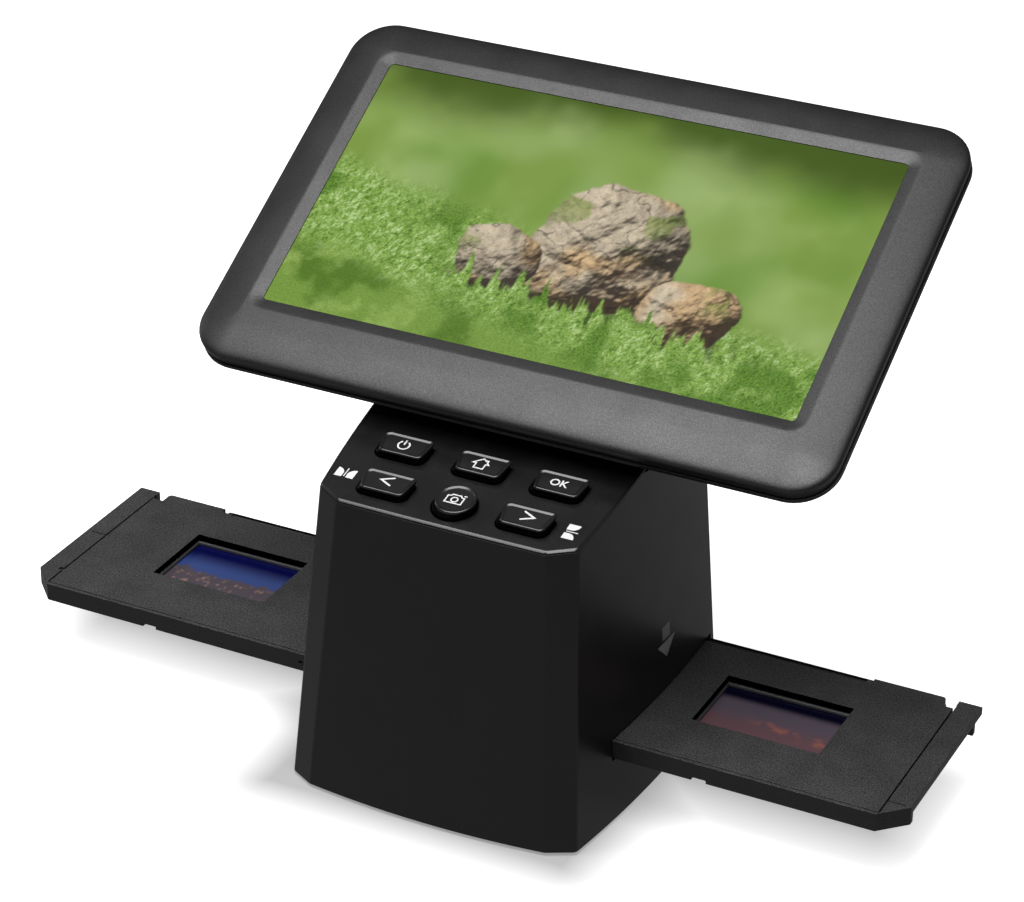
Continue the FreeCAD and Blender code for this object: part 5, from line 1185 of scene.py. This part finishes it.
def painted_plate(name, place, half, level, thick, grid, paint):
    """A thin plate whose upper face carries a painted picture in its vertices."""
    (wide, tall), (columns, rows) = half, grid
    xs, ys = np.linspace(-wide, wide, columns), np.linspace(-tall, tall, rows)
    grid_x, grid_y = np.meshgrid(xs, ys)
    colour, sharp = paint((grid_x + wide) / (2 * wide), (grid_y + tall) / (2 * tall))
    build = bmesh.new()
    verts = [[build.verts.new(place(x, y, level)) for x in xs] for y in ys]
    for near, far in zip(verts, verts[1:]):
        for column in range(columns - 1):
            build.faces.new((near[column], near[column + 1], far[column + 1], far[column]))
    rim = ([(0, column) for column in range(columns)] + [(row, -1) for row in range(1, rows)]
           + [(-1, column) for column in range(columns - 2, -1, -1)]
           + [(row, 0) for row in range(rows - 2, 0, -1)])
    border = [verts[row][column] for row, column in rim]
    under = [build.verts.new(place(xs[column], ys[row], level - thick)) for row, column in rim]
    for spot, upper in enumerate(border):
        after = (spot + 1) % len(border)
        build.faces.new((upper, under[spot], under[after], border[after]))
    build.faces.new(under[::-1])
    mesh = outward(name, build)
    mesh.shade_flat()
    count = columns * rows
    values = np.tile((0.0, 0.0, 0.0, 1.0), (len(mesh.vertices), 1))
    values[:count, :3] = np.clip(colour, 0, 1).reshape(-1, 3)
    note(mesh, "paint", "FLOAT_COLOR", "POINT", values)
    note(mesh, "sharp", "FLOAT", "POINT", np.append(sharp.ravel(), np.zeros(len(under))))
    flow = [(x - 0.35 * y, 0.75 * y, 0.0) for y in ys for x in xs] + [(0.0, 0.0, 1.0)] * len(under)
    note(mesh, "flow", "FLOAT_VECTOR", "POINT", np.array(flow) * MM)
    return mesh


# The plates' surface, thickness, gap or half sizes in millimetres, and points across and up
SCREEN_LEVEL, SCREEN_THICK, SCREEN_GAP, SCREEN_GRID = 0.4, 1.4, 0.02, (400, 220)
FILM_LEVEL, FILM_THICK, FILM_HALF, FILM_GRID = 21.2, 0.2, (18.5, 12.5), (90, 62)


class SCANNER_OT_screen(bpy.types.Operator):
    """Paint a generic picture of a meadow on the screen's glass"""

    bl_idname = "scanner.screen"
    bl_label = "Screen"

    def execute(self, context):
        half = (SCREEN_WIDE / 2 - SCREEN_GAP, SCREEN_TALL / 2 - SCREEN_GAP)
        mesh = painted_plate("screen_picture", at_display, half, SCREEN_LEVEL, SCREEN_THICK,
                             SCREEN_GRID, meadow)
        material = painted("lit_screen", colours().screen_light, 0.3, 0.55 * MM, 0.03)
        given(linked("screen_picture", mesh, material), "display", "screen", "cover_glass")
        return {"FINISHED"}


# The slides' middles; the small hole in the tray's front: middle, radius and depth; and the cuts
# in the tray's lid and base: from and to in x, y and z
SLIDES = [-91.4 + 55.4 * number for number in range(4)]
SLIDE_BACK = 9.4
FRONT_HOLE, FRONT_HOLE_DEEP = (-50.6, 21.7, 0.6), (-23.0, -21.2)
LATCH_CUT = (-110.4, -107.3, 36.2, 39.0, 22.0, 25.0)
BASE_CUTS = [(-107.2, 90.6, 34.9, 37.25, 22.62, 25.0), (112.9, 116.4, 9.6, 9.95, 24.1, 25.0),
             (116.15, 116.45, 8.6, 9.95, 24.1, 25.0), (116.2, 121.2, -15.2, -14.85, 24.1, 25.0),
             (-137.9, -132.6, 8.9, 9.25, 24.1, 25.0), (-134.2, -132.6, -13.6, -12.5, 23.9, 25.0)]


def mark_grain_and_painted_shade(piece):
    """Say which faces look up and carry grain, which sides take painted shade, and which lie in
    the groove and windows and are painted black as shade.
    """
    faces = piece.data.polygons
    normals, middles = np.zeros(len(faces) * 3, np.float32), np.zeros(len(faces) * 3, np.float32)
    faces.foreach_get("normal", normals)
    faces.foreach_get("center", middles)
    x, y, z = (middles.reshape(-1, 3) / MM - np.array(at_body(0, 0, 0)) / MM).T
    up = normals[2::3] > 0.6
    groove = (y > 34.7) & (y < 37.4) & (x > -108.0) & (x < 91.5) & (z > 22.3)
    window = np.any([(abs(x - slide) < 18.6) & (abs(y - SLIDE_BACK) < 12.9) for slide in SLIDES],
                    axis=0)
    # Groove and window walls are marked for black, painted shade for these hollows
    dark = (groove & (z < 24.0)) | (window & ~up)
    note(piece.data, "grained", "FLOAT", "FACE", np.where(dark, -1.0, up))
    return piece


class SCANNER_OT_tray(bpy.types.Operator):
    """Make the slide tray: its base with the hinge groove and engraved ends, and its lid"""

    bl_idname = "scanner.tray"
    bl_label = "Slide tray"

    def execute(self, context):
        edge, finish = sizes().tray_edge, finish_of("tray_plastic")
        base = baked(softened("tray_base_skin", "tray_base", finish, edge))
        low, high = ((corner.x - MOVE_X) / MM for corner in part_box("tray_lid"))
        seams = [(low - 0.45, low + 0.1, -20.5, 36.0, 22.9, 25.0),
                 (high - 0.1, high + 0.45, -20.5, 36.0, 22.9, 25.0)]
        for cut in BASE_CUTS + seams:
            cut_from(base, block(at_body, *cut))
        cut_from(base, tool([[at_body(x, y, z) for x, z in circle(*FRONT_HOLE, 20)]
                             for y in FRONT_HOLE_DEEP]))
        lid = baked(softened("tray_lid_skin", "tray_lid", finish, edge * 1.6, 3))
        cut_from(lid, block(at_body, *LATCH_CUT))
        for piece, node in ((base, "tray_base"), (lid, "tray_lid")):
            given(mark_grain_and_painted_shade(settled(piece)), "tray", "tray_plastic", node)
        return {"FINISHED"}


class SCANNER_OT_slides(bpy.types.Operator):
    """Make the four slide mounts and paint their films"""

    bl_idname = "scanner.slides"
    bl_label = "Slides"

    def execute(self, context):
        # The films are no lamps: their faint glow is painted light on top of their dyed colour
        finish = painted("film_picture", 0.2, 0.2, 0.6 * MM, 0.4, True)
        for number, middle in enumerate(SLIDES, start=1):
            def on_tray(x, y, z, middle=middle):
                return at_body(middle + x, SLIDE_BACK + y, z)
            name, mount = "film_%d" % number, "slide_mount_%d" % number
            mesh = painted_plate(name, on_tray, FILM_HALF, FILM_LEVEL, FILM_THICK, FILM_GRID,
                                 sky_slide if number % 2 else dusk_slide)
            given(linked(name, mesh, finish), "tray", "film", "slide_film_%d" % number)
            piece = softened("mount_%d" % number, mount, finish_of("mount_plastic"), 0.2 * MM)
            given(settled(piece), "tray", "slide_plastic", mount)
        return {"FINISHED"}


FEET = [(x, y) for x in (-34.0, 34.0) for y in (-35.0, 36.5)]
FOOT_PROFILE = [(3.2, 0.25), (3.6, 0.0), (5.0, 0.0), (5.35, 0.12), (5.5, 0.45), (5.5, 1.9)]


class SCANNER_OT_fasteners(bpy.types.Operator):
    """Make the rubber feet and the screws under the base"""

    bl_idname = "scanner.fasteners"
    bl_label = "Feet and screws"

    def execute(self, context):
        spots = [at_body(x, y, 0.0) for x, y in FEET]
        feet = copies("feet", spots, shaded(turned(FOOT_PROFILE, 48), 40.0), (0.0, 0.0, 0.0),
                      finish_of("rubber"))
        given(feet, "housing", "rubber", "rubber_feet")
        screws = copies("base_screw_set", self.screw_spots(), screw_pattern(9.0),
                        (0.0, 0.0, 0.6), finish_of("dark_steel"))
        given(screws, "housing", "screw_steel", "base_screws")
        return {"FINISHED"}

    def screw_spots(self):
        """The screws' places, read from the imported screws, one in each corner of their box."""
        vertices = np.array([v.co for v in frame["nodes"]["base_screws"].data.vertices])
        beyond = vertices[:, :2] > ((vertices.min(0) + vertices.max(0)) / 2)[:2]
        spots = []
        for corner in ((False, False), (False, True), (True, False), (True, True)):
            part = vertices[(beyond == corner).all(1)]
            x, y, _ = (part.min(0) + part.max(0)) / 2
            spots.append((x, y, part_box("base_screws")[0].z))
        return spots


INNER_FINISHES = {
    "steel": ("hinge_bracket_left", "hinge_bracket_right", "detent_spring", "usb_socket",
              "hdmi_socket", "card_socket"),
    "dark_steel": ("hinge_pin_left", "hinge_pin_right", "hinge_screws", "channel_screws"),
    "tongue": ("lid_hinge_pin",),
    "bush_plastic": ("hinge_bush_left", "hinge_bush_right"),
    "gate_black": ("channel_lower", "channel_upper", "light_hood", "lens_holder", "lens_barrel"),
    "white_plastic": ("light_box", "diffuser_plate"),
    "lamp": ("backlight_leds",),
    "board_green": ("main_board", "sensor_board", "led_board", "key_board", "display_board"),
    "chip_black": ("main_chips", "key_switches", "image_sensor"),
    "lens": ("lens_glass",),
    "trim_black": ("lcd_module",),
}


class SCANNER_OT_inner(bpy.types.Operator):
    """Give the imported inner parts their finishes"""

    bl_idname = "scanner.inner"
    bl_label = "Inner parts"

    def execute(self, context):
        for kind, nodes in INNER_FINISHES.items():
            for node in nodes:
                mesh = frame["nodes"][node].data
                mesh.materials.clear()
                mesh.materials.append(finish_of(kind))
        return {"FINISHED"}


# The camera's turns in degrees to the left, up from straight down, and about the view; its focal
# length in millimetres and its place; half the table's width in metres
CAMERA_TURNS = ((26.42, "Z"), (90.0 - 27.92, "X"), (0.6, "Z"))
CAMERA_LENS = 116.62
CAMERA_SPOT = (0.350153, -0.7088483, 0.49413)
TABLE_REACH = 6.0


class SCANNER_OT_stage(bpy.types.Operator):
    """Set the table, the lights, the camera and the view"""

    bl_idname = "scanner.stage"
    bl_label = "Stage"

    def execute(self, context):
        scene = context.scene
        self.lay_table()
        self.light_world(scene)
        self.hang_lamps()
        self.place_camera(scene)
        scene.view_settings.view_transform = "Standard"
        return {"FINISHED"}

    def lay_table(self):
        """A wide pale table that shows white further out and keeps the shadow; near where the tray
        and body rest its glow is lowered, and by the body its colour darkened, a painted shadow
        that stays put.
        """
        mesh = bpy.data.meshes.new("table")
        corners = ((-1, -1), (1, -1), (1, 1), (-1, 1))
        mesh.from_pydata([(x * TABLE_REACH, y * TABLE_REACH, 0) for x, y in corners], [],
                         [(0, 1, 2, 3)])
        material, tree, surface = blank_material("table_white")
        path = added(tree, "LightPath").outputs
        seen = computed(tree, "MAXIMUM", path["Is Camera Ray"], path["Is Transmission Ray"])
        # Painted shadow: the glow drops near where the tray and the body rest, letting their real
        # shadow show, and the colour darkens near the body; both stay put when the tray moves
        round_tray = self.away_from(tree, (-0.009, -0.005), (0.124, 0.015))
        round_body = self.away_from(tree, (0.0055, -0.026), (0.0435, 0.0455))
        near = computed(tree, "MINIMUM", spread(tree, round_tray, 0.48, 1.0, 0.0, 0.019),
                        spread(tree, round_body, 0.3, 1.0, 0.0, 0.028))
        plain = spread(tree, round_body, 0.3, 1.0, 0.0, 0.026)
        share = spread(tree, seen, 0.12, plain, 0.0, 1.0)
        shade = blended(tree, share, (0.0, 0.0, 0.0), tuple(colours().floor))
        feed(tree, surface, {
            "Base Color": shade, "Roughness": 0.9, "Specular IOR Level": 0.0,
            "Emission Color": (1.0, 1.0, 1.0, 1.0),
            "Emission Strength": spread(tree, seen, 0.18, near, 0.0, 1.0)})
        linked("table", mesh, material)

    def away_from(self, tree, middle, half):
        """How far a place on the table is from a rectangle with a middle and half sizes."""
        where = added(tree, "TexCoord").outputs["Object"]
        for operation, values in (("SUBTRACT", {1: (*middle, 0.0)}), ("ABSOLUTE", {}),
                                  ("SUBTRACT", {1: (*half, 1.0)}), ("MAXIMUM", {1: (0, 0, 0)}),
                                  ("LENGTH", {})):
            step = added(tree, "VectorMath", {0: where, **values}, operation=operation)
            where = step.outputs["Value" if operation == "LENGTH" else "Vector"]
        return where

    def light_world(self, scene):
        """A dim studio round the table, white where the camera looks past it."""
        world = bpy.data.worlds.new("surround")
        world.use_nodes = True
        tree = world.node_tree
        seen = added(tree, "LightPath").outputs["Is Camera Ray"]
        feed(tree, tree.nodes["Background"], {
            "Color": (1.0, 1.0, 1.0, 1.0), "Strength": spread(tree, seen, 0.12, 1.0, 0.0, 1.0)})
        scene.world = world

    def hang_lamps(self):
        """One wide soft box above and in front, and a faint one on the left."""
        for name, spot, aim, wide, long, power in (
                ("overhead", (-0.05, -0.19, 0.69), (0.0, 0.0, 0.12), 0.64, 0.46, 5.4),
                ("left", (-1.3, 0.1, 0.5), (0.0, 0.0, 0.1), 0.4, 0.9, 1.5)):
            light = bpy.data.lights.new(name, "AREA")
            light.shape = "RECTANGLE"
            light.size, light.size_y = wide, long
            light.energy = power
            lamp = placed(name, light)
            lamp.location = spot
            lamp.rotation_euler = (Vector(aim) - Vector(spot)).to_track_quat("-Z", "Y").to_euler()

    def place_camera(self, scene):
        """The camera looks down on the scanner from its right front."""
        lens = bpy.data.cameras.new("camera")
        lens.lens = CAMERA_LENS
        lens.sensor_width = 36.0
        camera = placed("camera", lens)
        matrix = Matrix.Translation(CAMERA_SPOT)
        for degrees, axis in CAMERA_TURNS:
            matrix = matrix @ Matrix.Rotation(math.radians(degrees), 4, axis)
        camera.matrix_world = matrix
        scene.camera = camera


class SCANNER_PT_panel(bpy.types.Panel):
    """Lists the steps that make the scanner's surfaces."""

    bl_idname = "SCANNER_PT_panel"
    bl_label = "Film scanner"
    bl_space_type = "VIEW_3D"
    bl_region_type = "UI"
    bl_category = "Scanner"

    def draw(self, context):
        for group in (context.scene.scanner_sizes, context.scene.scanner_colours):
            for word in group.bl_rna.properties.keys():
                if word not in ("name", "rna_type"):
                    self.layout.prop(group, word)
        for step in STEPS:
            self.layout.operator(step.bl_idname)


STEPS = (
    SCANNER_OT_stage, SCANNER_OT_housing, SCANNER_OT_deck, SCANNER_OT_keys, SCANNER_OT_marks,
    SCANNER_OT_display, SCANNER_OT_screen, SCANNER_OT_tray, SCANNER_OT_slides,
    SCANNER_OT_fasteners, SCANNER_OT_inner,
)
CLASSES = (ScannerSizes, ScannerColours) + STEPS + (SCANNER_PT_panel,)


def register():
    """Make the settings, the steps and the panel known."""
    for kind in CLASSES:
        bpy.utils.register_class(kind)
    bpy.types.Scene.scanner_sizes = bpy.props.PointerProperty(type=ScannerSizes)
    bpy.types.Scene.scanner_colours = bpy.props.PointerProperty(type=ScannerColours)


def unregister():
    """Take them away again."""
    del bpy.types.Scene.scanner_colours
    del bpy.types.Scene.scanner_sizes
    for kind in reversed(CLASSES):
        bpy.utils.unregister_class(kind)


def main():
    """Run every step."""
    register()
    for step in STEPS:
        group, word = step.bl_idname.split(".")
        getattr(getattr(bpy.ops, group), word)()


if __name__ == "__main__":
    main()
